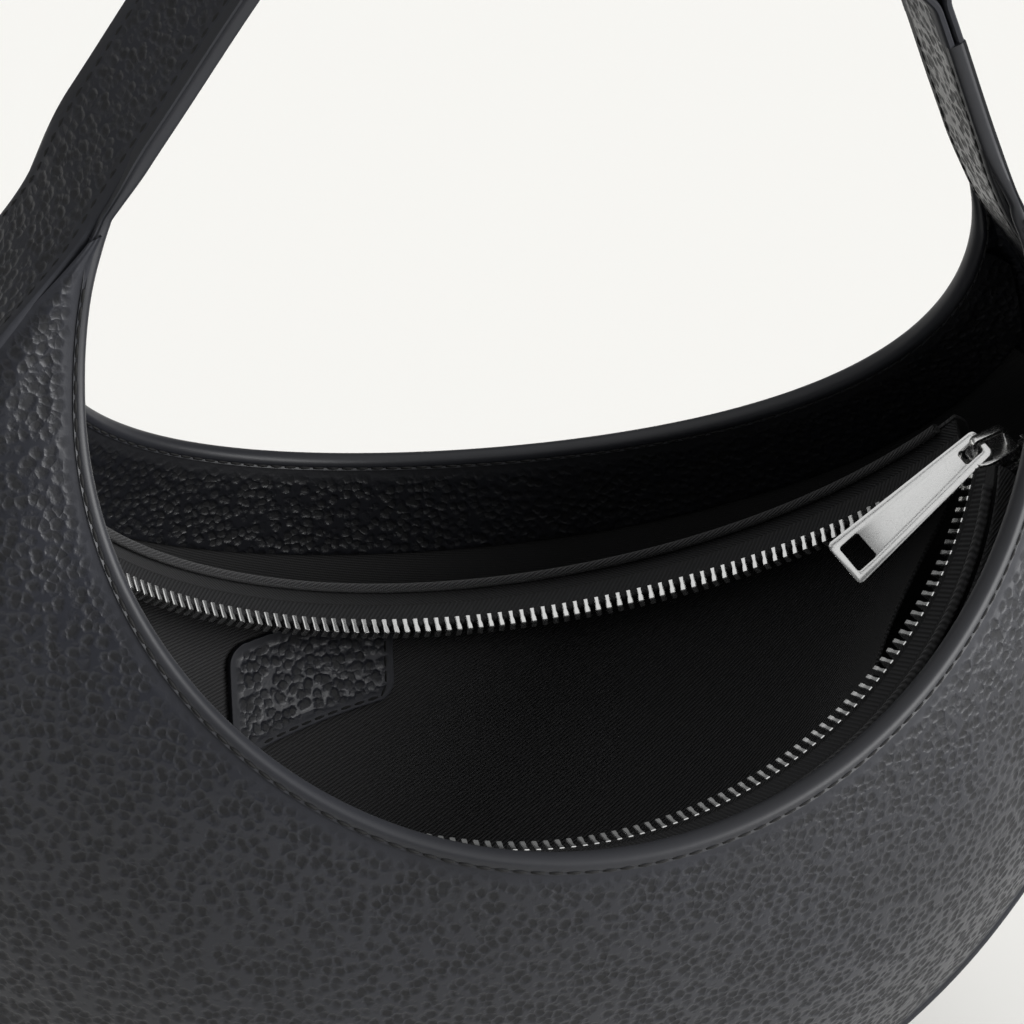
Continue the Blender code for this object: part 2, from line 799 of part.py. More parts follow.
def add_zip_half(side, sign, pivot):
    """One zip half. sign is -1 at the front and 1 at the back."""
    turn = list if sign < 0 else mirrored
    centre = world_place(pivot)
    stop = STOP_LENGTH / ZIP_RADIUS
    gap = SEAT_GAP / ZIP_RADIUS
    points, faces = tooth_row_solid(-ZIP_END_ANGLE + stop + gap, ZIP_END_ANGLE - 2 * gap)
    add_object(side + "_zip_teeth", turn(points), faces, SILVER, centre, pivot, smooth=False)

    near, far = BEAD_FAR + SEAT_GAP, BEAD_FAR + TAPE_WIDTH
    rings = []
    for angle in zip_angles():
        rings.append([
            zip_place(angle, near, TAPE_THICKNESS / 2),
            zip_place(angle, far, TAPE_THICKNESS / 2),
            zip_place(angle, far, -TAPE_THICKNESS / 2),
            zip_place(angle, near, -TAPE_THICKNESS / 2),
        ])
    points, faces = tube_solid(rings)
    add_object(side + "_zip_tape", turn(points), faces, TAPE_BLACK, centre, pivot)

    lift = TOOTH_HEIGHT / 2
    points, faces = box_solid(
        zip_place, ((-ZIP_END_ANGLE, -ZIP_END_ANGLE + stop), (3 * TOOTH_TIP, BEAD_FAR), (-lift, lift))
    )
    add_object(side + "_top_stop", turn(points), faces, SILVER, centre, pivot, smooth=False)


# Slider, bridge and puller, in a frame along the closed end of the chain


SLIDER_MIDDLE = np.array([
    ZIP_HALF_CHORD + (SLIDER_LENGTH / 2 + SEAT_GAP) * math.cos(SLIDER_TILT),
    0,
    ZIP_HEIGHT + (SLIDER_LENGTH / 2 + SEAT_GAP) * math.sin(SLIDER_TILT),
])


def slider_place(ahead, across, up):
    cos, sin = math.cos(SLIDER_TILT), math.sin(SLIDER_TILT)
    return (
        SLIDER_MIDDLE[0] + ahead * cos - up * sin,
        across,
        SLIDER_MIDDLE[2] + ahead * sin + up * cos,
    )


def puller_pivot():
    return slider_place(-PULLER_PIVOT_AHEAD, 0, SLIDER_CAVITY / 2 + SLIDER_PLATE + PULLER_PIVOT_HEIGHT)


def join(obj, others):
    """Unites solids into obj with Boolean modifiers and hides the parts that were joined."""
    for other in others:
        modifier = obj.modifiers.new("join_" + other.name, "BOOLEAN")
        modifier.operation = "UNION"
        modifier.solver = "MANIFOLD"
        modifier.object = other
        other.hide_render = True
        other.display_type = "WIRE"


def prism_solid(place, outline, low, high):
    """An outline in two of the frame's axes, extruded along the third."""
    return tube_solid([[place(a, b, c) for a, b in outline] for c in (low, high)])


def add_slider(pivot):
    centre = world_place(pivot)
    half = SLIDER_LENGTH / 2
    wide, narrow = SLIDER_WIDTH / 2, SLIDER_REAR_WIDTH / 2
    chamfer = SLIDER_PLATE
    one_side = (
        (-half, wide - 2 * chamfer),
        (-half + 2 * chamfer, wide),
        (0, wide),
        (half - chamfer, narrow),
        (half, narrow - chamfer),
    )
    outline = one_side + tuple((ahead, -across) for ahead, across in one_side[::-1])
    cavity = SLIDER_CAVITY / 2
    points, faces = prism_solid(slider_place, outline, cavity, cavity + SLIDER_PLATE)
    body = add_object("slider_body", points, faces, SILVER, centre, pivot, smooth=False)
    points, faces = prism_solid(slider_place, outline, -cavity - SLIDER_PLATE, -cavity)
    others = [add_object("slider_lower_plate", points, faces, SILVER, centre, pivot)]
    overlap = SLIDER_PLATE / 2
    post = (-half + overlap, -half + overlap + SLIDER_POST_LENGTH)
    breadth = (-SLIDER_POST_WIDTH / 2, SLIDER_POST_WIDTH / 2)
    heights = (-cavity - overlap, cavity + overlap)
    points, faces = box_solid(slider_place, (post, breadth, heights))
    others.append(add_object("slider_post", points, faces, SILVER, centre, pivot))
    for name, level in (("slider_upper_lip", 1), ("slider_lower_lip", -1)):
        heights = sorted((level * (cavity - SLIDER_LIP), level * (cavity + overlap)))
        for label, side in (("_front", -1), ("_back", 1)):
            edge = (
                (-half + 3 * chamfer, wide - SEAT_GAP),
                (0, wide - SEAT_GAP),
                (half - 2 * chamfer, narrow - SEAT_GAP),
            )
            flank = [(ahead, side * across) for ahead, across in edge]
            flank += [(ahead, side * (across - SLIDER_LIP)) for ahead, across in edge[::-1]]
            points, faces = prism_solid(slider_place, flank, *heights)
            others.append(add_object(name + label, points, faces, SILVER, centre, pivot))
    join(body, others)

    foot = cavity + SLIDER_PLATE + SEAT_GAP
    reach = BRIDGE_LENGTH / 2
    clear = foot + BRIDGE_CLEAR_HEIGHT
    thick = BRIDGE_THICKNESS
    slope = BRIDGE_LENGTH / 8
    outside = ((reach, foot), (reach, clear - slope), (reach - slope - thick / 2, clear + thick))
    inside = ((reach - thick - slope / 2, clear), (reach - thick, clear - slope), (reach - thick, foot))
    arch = outside + tuple((-ahead, up) for ahead, up in outside[::-1])
    arch += tuple((-ahead, up) for ahead, up in inside[::-1]) + inside

    def sideways(ahead, up, across):
        return slider_place(ahead, across, up)

    points, faces = prism_solid(sideways, arch, -BRIDGE_WIDTH / 2, BRIDGE_WIDTH / 2)
    add_object("slider_bridge", points, faces, SILVER, centre, pivot, smooth=False)


def add_puller(parent):
    """A tapered plate with a window round the bridge and a hole near its wide end."""
    centre = puller_pivot()
    pivot = add_pivot("puller_pivot", centre, parent)

    def place(down, across, up):
        cos, sin = math.cos(PULLER_DROP), math.sin(PULLER_DROP)
        return (centre[0] - down * cos - up * sin, across, centre[2] - down * sin + up * cos)

    bar = PULLER_THICKNESS / 2
    tip = PULLER_LENGTH
    narrow, wide = PULLER_NARROW / 2, PULLER_WIDE / 2
    corner = PULLER_THICKNESS
    one_side = ((-bar, narrow - corner), (-bar + corner, narrow), (tip - corner, wide), (tip, wide - corner))
    outline = one_side + tuple((down, -across) for down, across in one_side[::-1])
    points, faces = prism_solid(place, outline, -bar, bar)
    puller = add_object("zip_puller", points, faces, SILVER, centre, pivot, smooth=False)
    hole_end = tip - PULLER_HOLE_MARGIN
    cuts = (
        ("puller_window", bar, bar + PULLER_WINDOW_LENGTH, PULLER_WINDOW_WIDTH),
        ("puller_hole", hole_end - PULLER_HOLE_LENGTH, hole_end, PULLER_HOLE_WIDTH),
    )
    for name, start, stop, width in cuts:
        through = (-PULLER_THICKNESS, PULLER_THICKNESS)
        points, faces = box_solid(place, ((start, stop), (-width / 2, width / 2), through))
        cutter = add_object(name, points, faces, SILVER, centre, pivot)
        cutter.hide_render = True
        cutter.display_type = "WIRE"
        modifier = puller.modifiers.new(name, "BOOLEAN")
        modifier.operation = "DIFFERENCE"
        modifier.solver = "EXACT"
        modifier.object = cutter


def add_chain_end():
    """The chain's closed end behind the slider, its bottom stop, and the tabs that hold both zip ends."""
    start = -SLIDER_LENGTH / 2 + SLIDER_POST_LENGTH + SLIDER_PLATE
    stop = start + CHAIN_END_LENGTH
    half = CHAIN_END_WIDTH / 2
    lift = TOOTH_HEIGHT / 2 - SEAT_GAP
    points, faces = box_solid(slider_place, ((start, stop), (-half, half), (-lift, lift)))
    add_object("closed_chain_end", points, faces, SILVER, smooth=False)
    near = stop + SEAT_GAP
    far = near + STOP_LENGTH
    points, faces = box_solid(slider_place, ((near, far), (-half, half), (-lift, lift)))
    add_object("zip_bottom_stop", points, faces, SILVER, smooth=False)

    end = slider_place(far, 0, -lift)
    add_tab("right_end_tab", end[0] + SEAT_GAP, wall_inside(end[2]), end[2])
    left = -ZIP_HALF_CHORD - SEAT_GAP - TOOTH_HEIGHT
    add_tab("left_end_tab", -wall_inside(ZIP_HEIGHT), left, ZIP_HEIGHT)


def wall_inside(height):
    """How far a tab at this height reaches from the middle to the gusset lining."""
    depth = GUSSET_LEATHER + BOARD_THICKNESS + 2 * SEAT_GAP + LINING_CLOTH
    edges = (height - TAB_THICKNESS, height + TAB_THICKNESS)
    return min(on_loop(run_at_height(edge), depth)[0] for edge in edges) - SEAT_GAP


def add_tab(name, low, high, height):
    half, thick = TAB_WIDTH / 2, TAB_THICKNESS / 2
    points, faces = box_solid(
        lambda x, y, z: (x, y, z), ((low, high), (-half, half), (height - thick, height + thick))
    )
    add_object(name, points, faces, LEATHER_BLACK)


# Pouch: two cloth walls under the tapes, joined along the bottom


def pouch_grid():
    """Front pouch wall: columns from end to end, rows from the tape's outer edge down to the bottom seam."""
    across = BEAD_FAR + TAPE_WIDTH + 2 * SEAT_GAP
    drop = ZIP_HEIGHT - POUCH_BOTTOM_HEIGHT
    grid = []
    for angle in zip_angles():
        turn = angle / ZIP_END_ANGLE * math.pi / 2
        top = np.array(zip_place(angle, across, 0))
        falling = np.array(zip_place(angle, across, -POUCH_FALL))
        share = POUCH_END_SHARE + (1 - POUCH_END_SHARE) * math.cos(turn)
        low = np.array([POUCH_BOTTOM_HALF_WIDTH * math.sin(turn), -SEAT_GAP / 2, ZIP_HEIGHT - drop * share])
        rising = low + np.array([0, -POUCH_BELLY, POUCH_BELLY])
        column = []
        for v in np.linspace(0, 1, POUCH_ROWS + 1):
            w = 1 - v
            column.append(top * w**3 + falling * 3 * w * w * v + rising * 3 * w * v * v + low * v**3)
        grid.append(column)
    return np.array(grid)


def add_pouch():
    grid = pouch_grid()
    normal = grid_normals(grid)
    points, faces = grid_solid(grid, grid + normal * POUCH_CLOTH)
    add_object("pouch_front_wall", points, faces, CLOTH_BLACK)
    add_object("pouch_back_wall", mirrored(points), faces, CLOTH_BLACK)


def add_pipings(front, back):
    """A thin round piping along each pouch edge, on the tape's outer edge."""
    rings = []
    for angle in zip_angles() * PIPING_REACH_SHARE:
        ring = []
        for k in range(ROUND_SIDES):
            turn = 2 * math.pi * k / ROUND_SIDES
            across = BEAD_FAR + TAPE_WIDTH + PIPING_RADIUS * math.cos(turn)
            lift = TAPE_THICKNESS / 2 + SEAT_GAP + PIPING_RADIUS * (1 + math.sin(turn))
            ring.append(zip_place(angle, across, lift))
        rings.append(ring)
    points, faces = tube_solid(rings)
    add_object("pouch_front_piping", points, faces, CLOTH_BLACK, world_place(front), front)
    add_object("pouch_back_piping", mirrored(points), faces, CLOTH_BLACK, world_place(back), back)


def add_patch():
    """A small leather patch sewn inside the pouch's back wall."""
    grid = pouch_grid()
    patch = []
    for x in np.linspace(PATCH_END - PATCH_LENGTH, PATCH_END, PATCH_COLUMNS):
        rows = grid.transpose(1, 0, 2)
        line = np.array([[np.interp(x, row[:, 0], row[:, k]) for k in range(3)] for row in rows])
        run = along(line)
        downs = LINING_HEM + PATCH_HEIGHT * np.linspace(0, 1, PATCH_ROWS)
        patch.append([[np.interp(down, run, line[:, k]) for k in range(3)] for down in downs])
    patch = np.array(patch)
    inward = -grid_normals(patch)
    near = 2 * SEAT_GAP
    points, faces = grid_solid(patch + inward * near, patch + inward * (near + PATCH_THICKNESS))
    add_object("pouch_leather_patch", mirrored(points), faces, LEATHER_BLACK)


def build():
    clear_scene()
    add_panels()
    add_facings_and_linings()
    add_bindings()
    add_gusset()
    add_base_board()
    strap_pivot = add_pivot("strap_pivot", (0, 0, STRAP_BEND_HEIGHT))
    add_strap(strap_pivot)
    add_ring(strap_pivot)
    front = add_pivot("front_zip_pivot", (0, 0, ZIP_HEIGHT))
    back = add_pivot("back_zip_pivot", (0, 0, ZIP_HEIGHT))
    add_zip_half("front", -1, front)
    add_zip_half("back", 1, back)
    add_pouch()
    add_pipings(front, back)
    add_patch()
    add_chain_end()
    slider = add_pivot("slider_pivot", SLIDER_MIDDLE)
    add_slider(slider)
    add_puller(slider)


build()
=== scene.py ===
import math

import bpy
import numpy as np
from mathutils import Matrix, Vector


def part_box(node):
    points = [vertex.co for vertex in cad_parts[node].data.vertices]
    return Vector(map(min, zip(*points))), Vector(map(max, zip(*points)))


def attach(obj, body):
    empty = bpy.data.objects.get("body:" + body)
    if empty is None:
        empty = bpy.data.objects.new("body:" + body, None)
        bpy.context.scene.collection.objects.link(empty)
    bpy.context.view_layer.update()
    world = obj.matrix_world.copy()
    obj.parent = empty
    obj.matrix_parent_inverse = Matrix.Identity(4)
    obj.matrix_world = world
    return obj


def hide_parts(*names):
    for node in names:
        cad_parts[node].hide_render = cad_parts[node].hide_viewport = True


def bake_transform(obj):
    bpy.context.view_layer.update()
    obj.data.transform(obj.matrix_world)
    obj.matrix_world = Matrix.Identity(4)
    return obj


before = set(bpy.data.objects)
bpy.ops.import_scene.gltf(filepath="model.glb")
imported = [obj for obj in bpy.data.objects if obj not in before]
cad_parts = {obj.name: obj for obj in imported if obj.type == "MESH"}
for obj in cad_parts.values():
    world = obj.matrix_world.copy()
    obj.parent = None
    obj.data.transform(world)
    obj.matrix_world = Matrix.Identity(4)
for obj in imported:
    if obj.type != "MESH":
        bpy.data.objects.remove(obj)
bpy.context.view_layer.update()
print("stage: frame loaded")


# Camera, floor and light come first, set to the photograph's view

shot = {
    "cameraPlace": (-0.2048, -0.5205, 0.4528),
    "right": (0.947, -0.298, 0.119),
    "up": (0.045, 0.492, 0.870),
    "lens": 107.7,
    "sensor": 36.0,
    "floorSize": 9.0,
    "floorColour": (0.930, 0.920, 0.888),
    "worldColour": (0.985, 0.995, 1.0),
    "worldStrength": 0.15,
    "paperColour": (0.92, 0.91, 0.88),
    "keyStrength": 4.40,
    "keyFrom": (0.80, -0.63, 0.42),
    "keyAngle": 50,
    "topStrength": 1.06,
    "topFrom": (-0.35, 0.00, 1.00),
    "topAngle": 100,
    "floorBounce": (0.36, 0.36, 0.35),
}


def feed(tree, socket, value):
    if isinstance(value, bpy.types.NodeSocket):
        tree.links.new(value, socket)
    else:
        socket.default_value = value


def mathNode(tree, operation, a, b=None, clamp=False):
    node = tree.nodes.new("ShaderNodeMath")
    node.operation = operation
    node.use_clamp = clamp
    feed(tree, node.inputs[0], a)
    if b is not None:
        feed(tree, node.inputs[1], b)
    return node.outputs[0]


def mixed(tree, factor, a, b):
    node = tree.nodes.new("ShaderNodeMix")
    node.data_type = "RGBA"
    feed(tree, node.inputs["Factor"], factor)
    feed(tree, node.inputs[6], a)
    feed(tree, node.inputs[7], b)
    return node.outputs[2]


def addCamera():
    right = Vector(shot["right"]).normalized()
    up = Vector(shot["up"])
    up = (up - right * up.dot(right)).normalized()
    data = bpy.data.cameras.new("photoCamera")
    data.lens = shot["lens"]
    data.sensor_width = shot["sensor"]
    data.clip_start = 0.01
    camera = bpy.data.objects.new("photoCamera", data)
    bpy.context.scene.collection.objects.link(camera)
    turn = Matrix((right, up, right.cross(up))).transposed().to_4x4()
    camera.matrix_world = Matrix.Translation(shot["cameraPlace"]) @ turn
    bpy.context.scene.camera = camera


def addSun(name, strength, comesFrom, angle):
    data = bpy.data.lights.new(name, "SUN")
    data.energy = strength
    data.angle = math.radians(angle)
    lamp = bpy.data.objects.new(name, data)
    lamp.rotation_euler = Vector(comesFrom).to_track_quat("Z", "Y").to_euler()
    bpy.context.scene.collection.objects.link(lamp)


def addStudio():
    world = bpy.data.worlds.new("studioLight")
    world.use_nodes = True
    tree = world.node_tree
    light = tree.nodes["Background"]
    light.inputs["Color"].default_value = (*shot["worldColour"], 1)
    light.inputs["Strength"].default_value = shot["worldStrength"]
    # the camera sees the paper's own tone behind the floor's far edge
    paper = tree.nodes.new("ShaderNodeBackground")
    paper.inputs["Color"].default_value = (*shot["paperColour"], 1)
    choice = tree.nodes.new("ShaderNodeMixShader")
    tree.links.new(tree.nodes.new("ShaderNodeLightPath").outputs["Is Camera Ray"], choice.inputs[0])
    tree.links.new(light.outputs["Background"], choice.inputs[1])
    tree.links.new(paper.outputs["Background"], choice.inputs[2])
    tree.links.new(choice.outputs["Shader"], tree.nodes["World Output"].inputs["Surface"])
    bpy.context.scene.world = world
    addSun("keyLamp", shot["keyStrength"], shot["keyFrom"], shot["keyAngle"])
    addSun("topLamp", shot["topStrength"], shot["topFrom"], shot["topAngle"])
    bpy.ops.object.select_all(action="DESELECT")
    bpy.ops.mesh.primitive_plane_add(size=shot["floorSize"], location=(0, 0, 0))
    floor = bpy.context.active_object
    floor.name = "studioFloor"
    material = bpy.data.materials.new("paleFloor")
    material.use_nodes = True
    tree = material.node_tree
    shader = tree.nodes["Principled BSDF"]
    # the camera and shiny things see the pale floor, and its bounced light is weaker
    ray = tree.nodes.new("ShaderNodeLightPath").outputs
    seen = mathNode(tree, "ADD", ray["Is Camera Ray"], ray["Is Glossy Ray"])
    seen = mathNode(tree, "ADD", seen, ray["Is Transmission Ray"], clamp=True)
    colour = mixed(tree, seen, (*shot["floorBounce"], 1), (*shot["floorColour"], 1))
    tree.links.new(colour, shader.inputs["Base Color"])
    shader.inputs["Roughness"].default_value = 0.9
    shader.inputs["Specular IOR Level"].default_value = 0.0
    floor.data.materials.append(material)
    bpy.context.scene.view_settings.view_transform = "Standard"


addCamera()
addStudio()
print("stage: camera, floor and light")


# Shape of the bag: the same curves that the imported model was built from, in metres

bag = {
    "width": 0.272,
    "baseLength": 0.052,
    "baseDepth": 0.084,
    "forkHeight": 0.222,
    "forkSpread": 0.188,
    "strapTop": 0.332,
    "strapWidth": 0.022,
    "gussetTaper": 1.1,
    "rimSpread": 0.1834,
    "rimSwell": 0.083,
    "rimDip": 0.103,
    "rimDipEase": 0.92,
    "mouthEase": 0.18,
    "rims": {"front": (0.0820, 0.0057, 0.0208), "back": (0.0807, -0.0256, 0.0128)},
    "panelBulge": 0.008,
    "panelLeather": 0.0020,
    "gussetLeather": 0.0022,
    "strapLeather": 0.0018,
    "innerLeather": 0.0016,
    "seatGap": 0.0003,
    "seamSink": 0.0010,
    "facingDepth": 0.028,
    "bindingHeight": 0.0033,
    "bodyShares": (
        (0.430, 0.040),
        (0.640, 0.122),
        (0.808, 0.228),
        (0.935, 0.368),
        (1.000, 0.540),
        (0.975, 0.710),
        (0.872, 0.868),
    ),
    "strapShares": ((0.700, 0.440), (0.400, 0.830)),
    "curveSteps": 40,
}


def smoothCurve(points):
    pts = np.array(points, float)
    at = runAlong(pts)
    slope = np.zeros_like(pts)
    for i in range(len(pts)):
        low, high = max(i - 1, 0), min(i + 1, len(pts) - 1)
        slope[i] = (pts[high] - pts[low]) / (at[high] - at[low])
    out = []
    for i in range(len(pts) - 1):
        span = at[i + 1] - at[i]
        for u in np.arange(bag["curveSteps"]) / bag["curveSteps"]:
            out.append(
                (2 * u**3 - 3 * u**2 + 1) * pts[i]
                + (u**3 - 2 * u**2 + u) * span * slope[i]
                + (3 * u**2 - 2 * u**3) * pts[i + 1]
                + (u**3 - u**2) * span * slope[i + 1]
            )
    out.append(pts[-1])
    return np.array(out)


def unit(vectors):
    return vectors / np.linalg.norm(vectors, axis=-1, keepdims=True)


def runAlong(curve):
    return np.concatenate([[0], np.cumsum(np.linalg.norm(np.diff(curve, axis=0), axis=1))])


def resampled(curve, count):
    run = runAlong(curve)
    wanted = np.linspace(0, run[-1], count)
    return np.stack([np.interp(wanted, run, curve[:, k]) for k in range(3)], axis=1)


def halfOutline():
    half, rise = bag["width"] / 2, bag["strapTop"] - bag["forkHeight"]
    spread = bag["forkSpread"] / 2
    right = [(0, 0), (bag["baseLength"] / 2, 0)]
    right += [(half * a, bag["forkHeight"] * b) for a, b in bag["bodyShares"]]
    right += [(spread, bag["forkHeight"])]
    right += [(spread * a, bag["forkHeight"] + rise * b) for a, b in bag["strapShares"]]
    right += [(0, bag["strapTop"])]
    left = [(-x, z) for x, z in right[:0:-1]]
    beyond = [(-x, z) for x, z in right[-2:-4:-1]]
    steps = bag["curveSteps"]
    curve = smoothCurve(left[-2:] + right + beyond)
    curve = curve[2 * steps : 2 * steps + (len(right) - 1) * steps + 1]
    curve[: steps + 1, 1] = 0
    curve[:, 1] = np.maximum(curve[:, 1], 0)
    return curve


outline = halfOutline()
outlineRun = runAlong(outline)
outlineLength = outlineRun[-1]


def runAtHeight(height):
    return float(np.interp(height, outline[:, 1], outlineRun))


def loopPoint(run):
    run = (run + outlineLength) % (2 * outlineLength) - outlineLength
    x = np.interp(abs(run), outlineRun, outline[:, 0])
    return np.array([math.copysign(x, run), np.interp(abs(run), outlineRun, outline[:, 1])])


def loopNormal(run):
    step = bag["strapWidth"] / bag["curveSteps"]
    ahead = unit(loopPoint(run + step) - loopPoint(run - step))
    return np.array([ahead[1], -ahead[0]])


def onLoop(run, depth):
    return loopPoint(run) - loopNormal(run) * depth


def gussetHalf(height):
    share = min(max(1 - height / bag["forkHeight"], 0), 1)
    half = bag["strapWidth"] / 2
    return half + (bag["baseDepth"] / 2 - half) * share ** bag["gussetTaper"]


def eased(share):
    share = np.clip(share, 0, 1)
    return share * share * (3 - 2 * share)


def rimCrest(side, count):
    reach, leanOut, leanUp = bag["rims"][side]
    u = np.linspace(-1, 1, 1200)
    q = 1 - u**2
    fork = bag["strapWidth"] / 2 + bag["seatGap"] + bag["panelLeather"]
    out = (reach - fork) * (bag["mouthEase"] * q + (1 - bag["mouthEase"]) * q**2)
    down = bag["rimDip"] * (bag["rimDipEase"] * q + (1 - bag["rimDipEase"]) * q**2)
    x = bag["rimSpread"] / 2 * u + bag["rimSwell"] * u * q
    y = -(fork + out + leanOut * u * q)
    z = bag["forkHeight"] - down + leanUp * u * q
    return resampled(np.stack([x, y, z], axis=1), count)


def seamLine(count):
    forkRun = runAtHeight(bag["forkHeight"])
    line = []
    for run in np.linspace(-forkRun, forkRun, count):
        x, z = onLoop(run, bag["seamSink"])
        line.append((x, -(gussetHalf(z) + bag["seatGap"] + bag["panelLeather"]), z))
    return np.array(line)


def forwardNormals(grid):
    normals = unit(np.cross(np.gradient(grid, axis=0), np.gradient(grid, axis=1)))
    return normals * np.where(normals[..., 1:2] < 0, 1, -1)


def panelShape(side, count):
    # one panel as if in front: a line from crest to seam for each column, with its lengths and normals
    crest, seam = rimCrest(side, count), seamLine(count)
    middle = (seam + crest) / 2
    first, last = middle[1:2] - middle[:1], middle[-1:] - middle[-2:-1]
    ahead = np.concatenate([first, middle[2:] - middle[:-2], last])
    out = unit(np.cross(crest - seam, ahead))
    out *= np.where(out[:, 1:2] < 0, 1, -1)
    span = np.linalg.norm(crest - seam, axis=1)
    bulge = bag["panelBulge"] * np.minimum(span / bag["rimDip"], 1)
    v = np.linspace(1, 0, bag["curveSteps"])[None, :, None]
    lines = seam[:, None] * (1 - v) + crest[:, None] * v
    lines = lines + (out * bulge[:, None])[:, None] * 4 * v * (1 - v)
    steps = np.linalg.norm(np.diff(lines, axis=1), axis=2)
    runs = np.concatenate([np.zeros((count, 1)), np.cumsum(steps, axis=1)], axis=1)
    normals = forwardNormals(lines)
    steady = unit(normals.mean(axis=1, keepdims=True))
    share = np.minimum(runs[:, -1] / bag["facingDepth"], 1)[:, None, None]
    normals = unit(normals * share + steady * (1 - share))
    return {"lines": lines, "runs": runs, "normals": normals, "spans": runs[:, -1]}


def panelPlaces(shape, columns, downs, depths):
    # points of the chosen columns at running lengths from the crest, below the outer face
    places = np.empty(downs.shape + (3,))
    for row, i in enumerate(columns):
        for k in range(3):
            point = np.interp(downs[row], shape["runs"][i], shape["lines"][i, :, k])
            out = np.interp(downs[row], shape["runs"][i], shape["normals"][i, :, k])
            places[row, :, k] = point - out * depths[row]
    return places


def panelNormals(shape, columns, downs):
    rows = [
        [np.interp(downs[row], shape["runs"][i], shape["normals"][i, :, k]) for k in range(3)]
        for row, i in enumerate(columns)
    ]
    return np.array(rows).transpose(0, 2, 1)


def onSide(side, places):
    return places if side == "front" else places * np.array([1, -1, 1])


panelColumns = 257
panels = {side: panelShape(side, panelColumns) for side in bag["rims"]}
print("stage: curves of the bag")


# Helpers that every piece uses


def deselectAll():
    bpy.ops.object.select_all(action="DESELECT")


def makeActive(piece):
    deselectAll()
    bpy.context.view_layer.objects.active = piece
    piece.select_set(True)


def inEditMode(piece, steps):
    makeActive(piece)
    bpy.ops.object.mode_set(mode="EDIT")
    bpy.ops.mesh.select_all(action="SELECT")
    for step in steps:
        step()
    bpy.ops.object.mode_set(mode="OBJECT")


def applied(piece, kind, **values):
    # adds one modifier, sets it and applies it
    modifier = piece.modifiers.new(kind.lower(), kind)
    for key, value in values.items():
        setattr(modifier, key, value)
    makeActive(piece)
    bpy.ops.object.modifier_apply(modifier=modifier.name)
    return piece


def rounded(piece, width, segments=2, angle=50):
    return applied(
        piece,
        "BEVEL",
        width=width,
        segments=segments,
        limit_method="ANGLE",
        angle_limit=math.radians(angle),
    )


def gridPiece(name, places, flat=None, marks=None):
    # a sheet: rows and columns of places, a flat map in metres and a mark for smooth leather
    rows, columns = places.shape[:2]
    deselectAll()
    bpy.ops.mesh.primitive_grid_add(x_subdivisions=columns - 1, y_subdivisions=rows - 1, size=1)
    piece = bpy.context.active_object
    piece.name = name
    mesh = piece.data
    mesh.name = name
    mesh.vertices.foreach_set("co", places.reshape(-1).astype(np.float32))
    if flat is None:
        across = np.cumsum(np.linalg.norm(np.diff(places, axis=1, prepend=places[:, :1]), axis=2), axis=1)
        down = np.cumsum(np.linalg.norm(np.diff(places, axis=0, prepend=places[:1]), axis=2), axis=0)
        flat = np.stack([across, down], axis=2)
    corner = np.zeros(len(mesh.loops), np.int32)
    mesh.loops.foreach_get("vertex_index", corner)
    uv = flat.reshape(-1, 2)[corner].astype(np.float32)
    mesh.uv_layers.active.data.foreach_set("uv", uv.ravel())
    if marks is not None:
        smooth = mesh.attributes.new("smoothLeather", "FLOAT", "POINT")
        smooth.data.foreach_set("value", marks.reshape(-1).astype(np.float32))
    mesh.update()
    return piece


def sheetPiece(name, places, thickness, edge, marks=None):
    # a sheet with a thickness behind its face and rounded edges
    piece = gridPiece(name, places, marks=marks)
    applied(piece, "SOLIDIFY", thickness=thickness, offset=-1, use_even_offset=False)
    return rounded(piece, edge)


def sweptPiece(name, rings, marks=None, closed=False):
    # a bar through equal rings: a grid whose long edges are merged and whose ends are filled
    around = np.concatenate([rings, rings[:, :1]], axis=1)
    if marks is not None:
        marks = np.concatenate([marks, marks[:, :1]], axis=1)
    if closed:
        around = np.concatenate([around, around[:1]], axis=0)
        marks = None if marks is None else np.concatenate([marks, marks[:1]], axis=0)
    piece = gridPiece(name, around, marks=marks)
    steps = [lambda: bpy.ops.mesh.remove_doubles(threshold=1e-6)]
    if not closed:
        steps.append(lambda: bpy.ops.mesh.fill_holes(sides=0))
    steps.append(lambda: bpy.ops.mesh.normals_make_consistent(inside=False))
    inEditMode(piece, steps)
    return piece


def outlinePiece(name, points, height, edge, segments=2):
    # a plate: a flat outline that is extruded upwards, with rounded edges
    deselectAll()
    bpy.ops.mesh.primitive_circle_add(vertices=len(points), fill_type="NGON")
    piece = bpy.context.active_object
    piece.name = name
    for vertex, (x, y) in zip(piece.data.vertices, points):
        vertex.co = (x, y, -height / 2)
    lift = {"value": (0, 0, height)}
    inEditMode(
        piece,
        [
            lambda: bpy.ops.mesh.extrude_region_move(TRANSFORM_OT_translate=lift),
            lambda: bpy.ops.mesh.select_all(action="SELECT"),
            lambda: bpy.ops.mesh.normals_make_consistent(inside=False),
        ],
    )
    return rounded(piece, edge, segments) if edge else piece


def blockPiece(name, low, high, edge, segments=2):
    # a block between two corners, with rounded edges
    low, high = Vector(low), Vector(high)
    deselectAll()
    bpy.ops.mesh.primitive_cube_add(size=1, location=(low + high) / 2, scale=high - low)
    piece = bpy.context.active_object
    piece.name = name
    bpy.ops.object.transform_apply(location=True, rotation=True, scale=True)
    return rounded(piece, edge, segments) if edge else piece


def cutAway(piece, cutter):
    applied(piece, "BOOLEAN", operation="DIFFERENCE", solver="EXACT", object=cutter)
    bpy.data.objects.remove(cutter)
    return piece


def joined(name, parts):
    deselectAll()
    for part in parts:
        part.select_set(True)
    bpy.context.view_layer.objects.active = parts[0]
    bpy.ops.object.join()
    parts[0].name = name
    return parts[0]


def placed(piece, matrix):
    piece.data.transform(matrix)
    piece.data.update()
    return piece


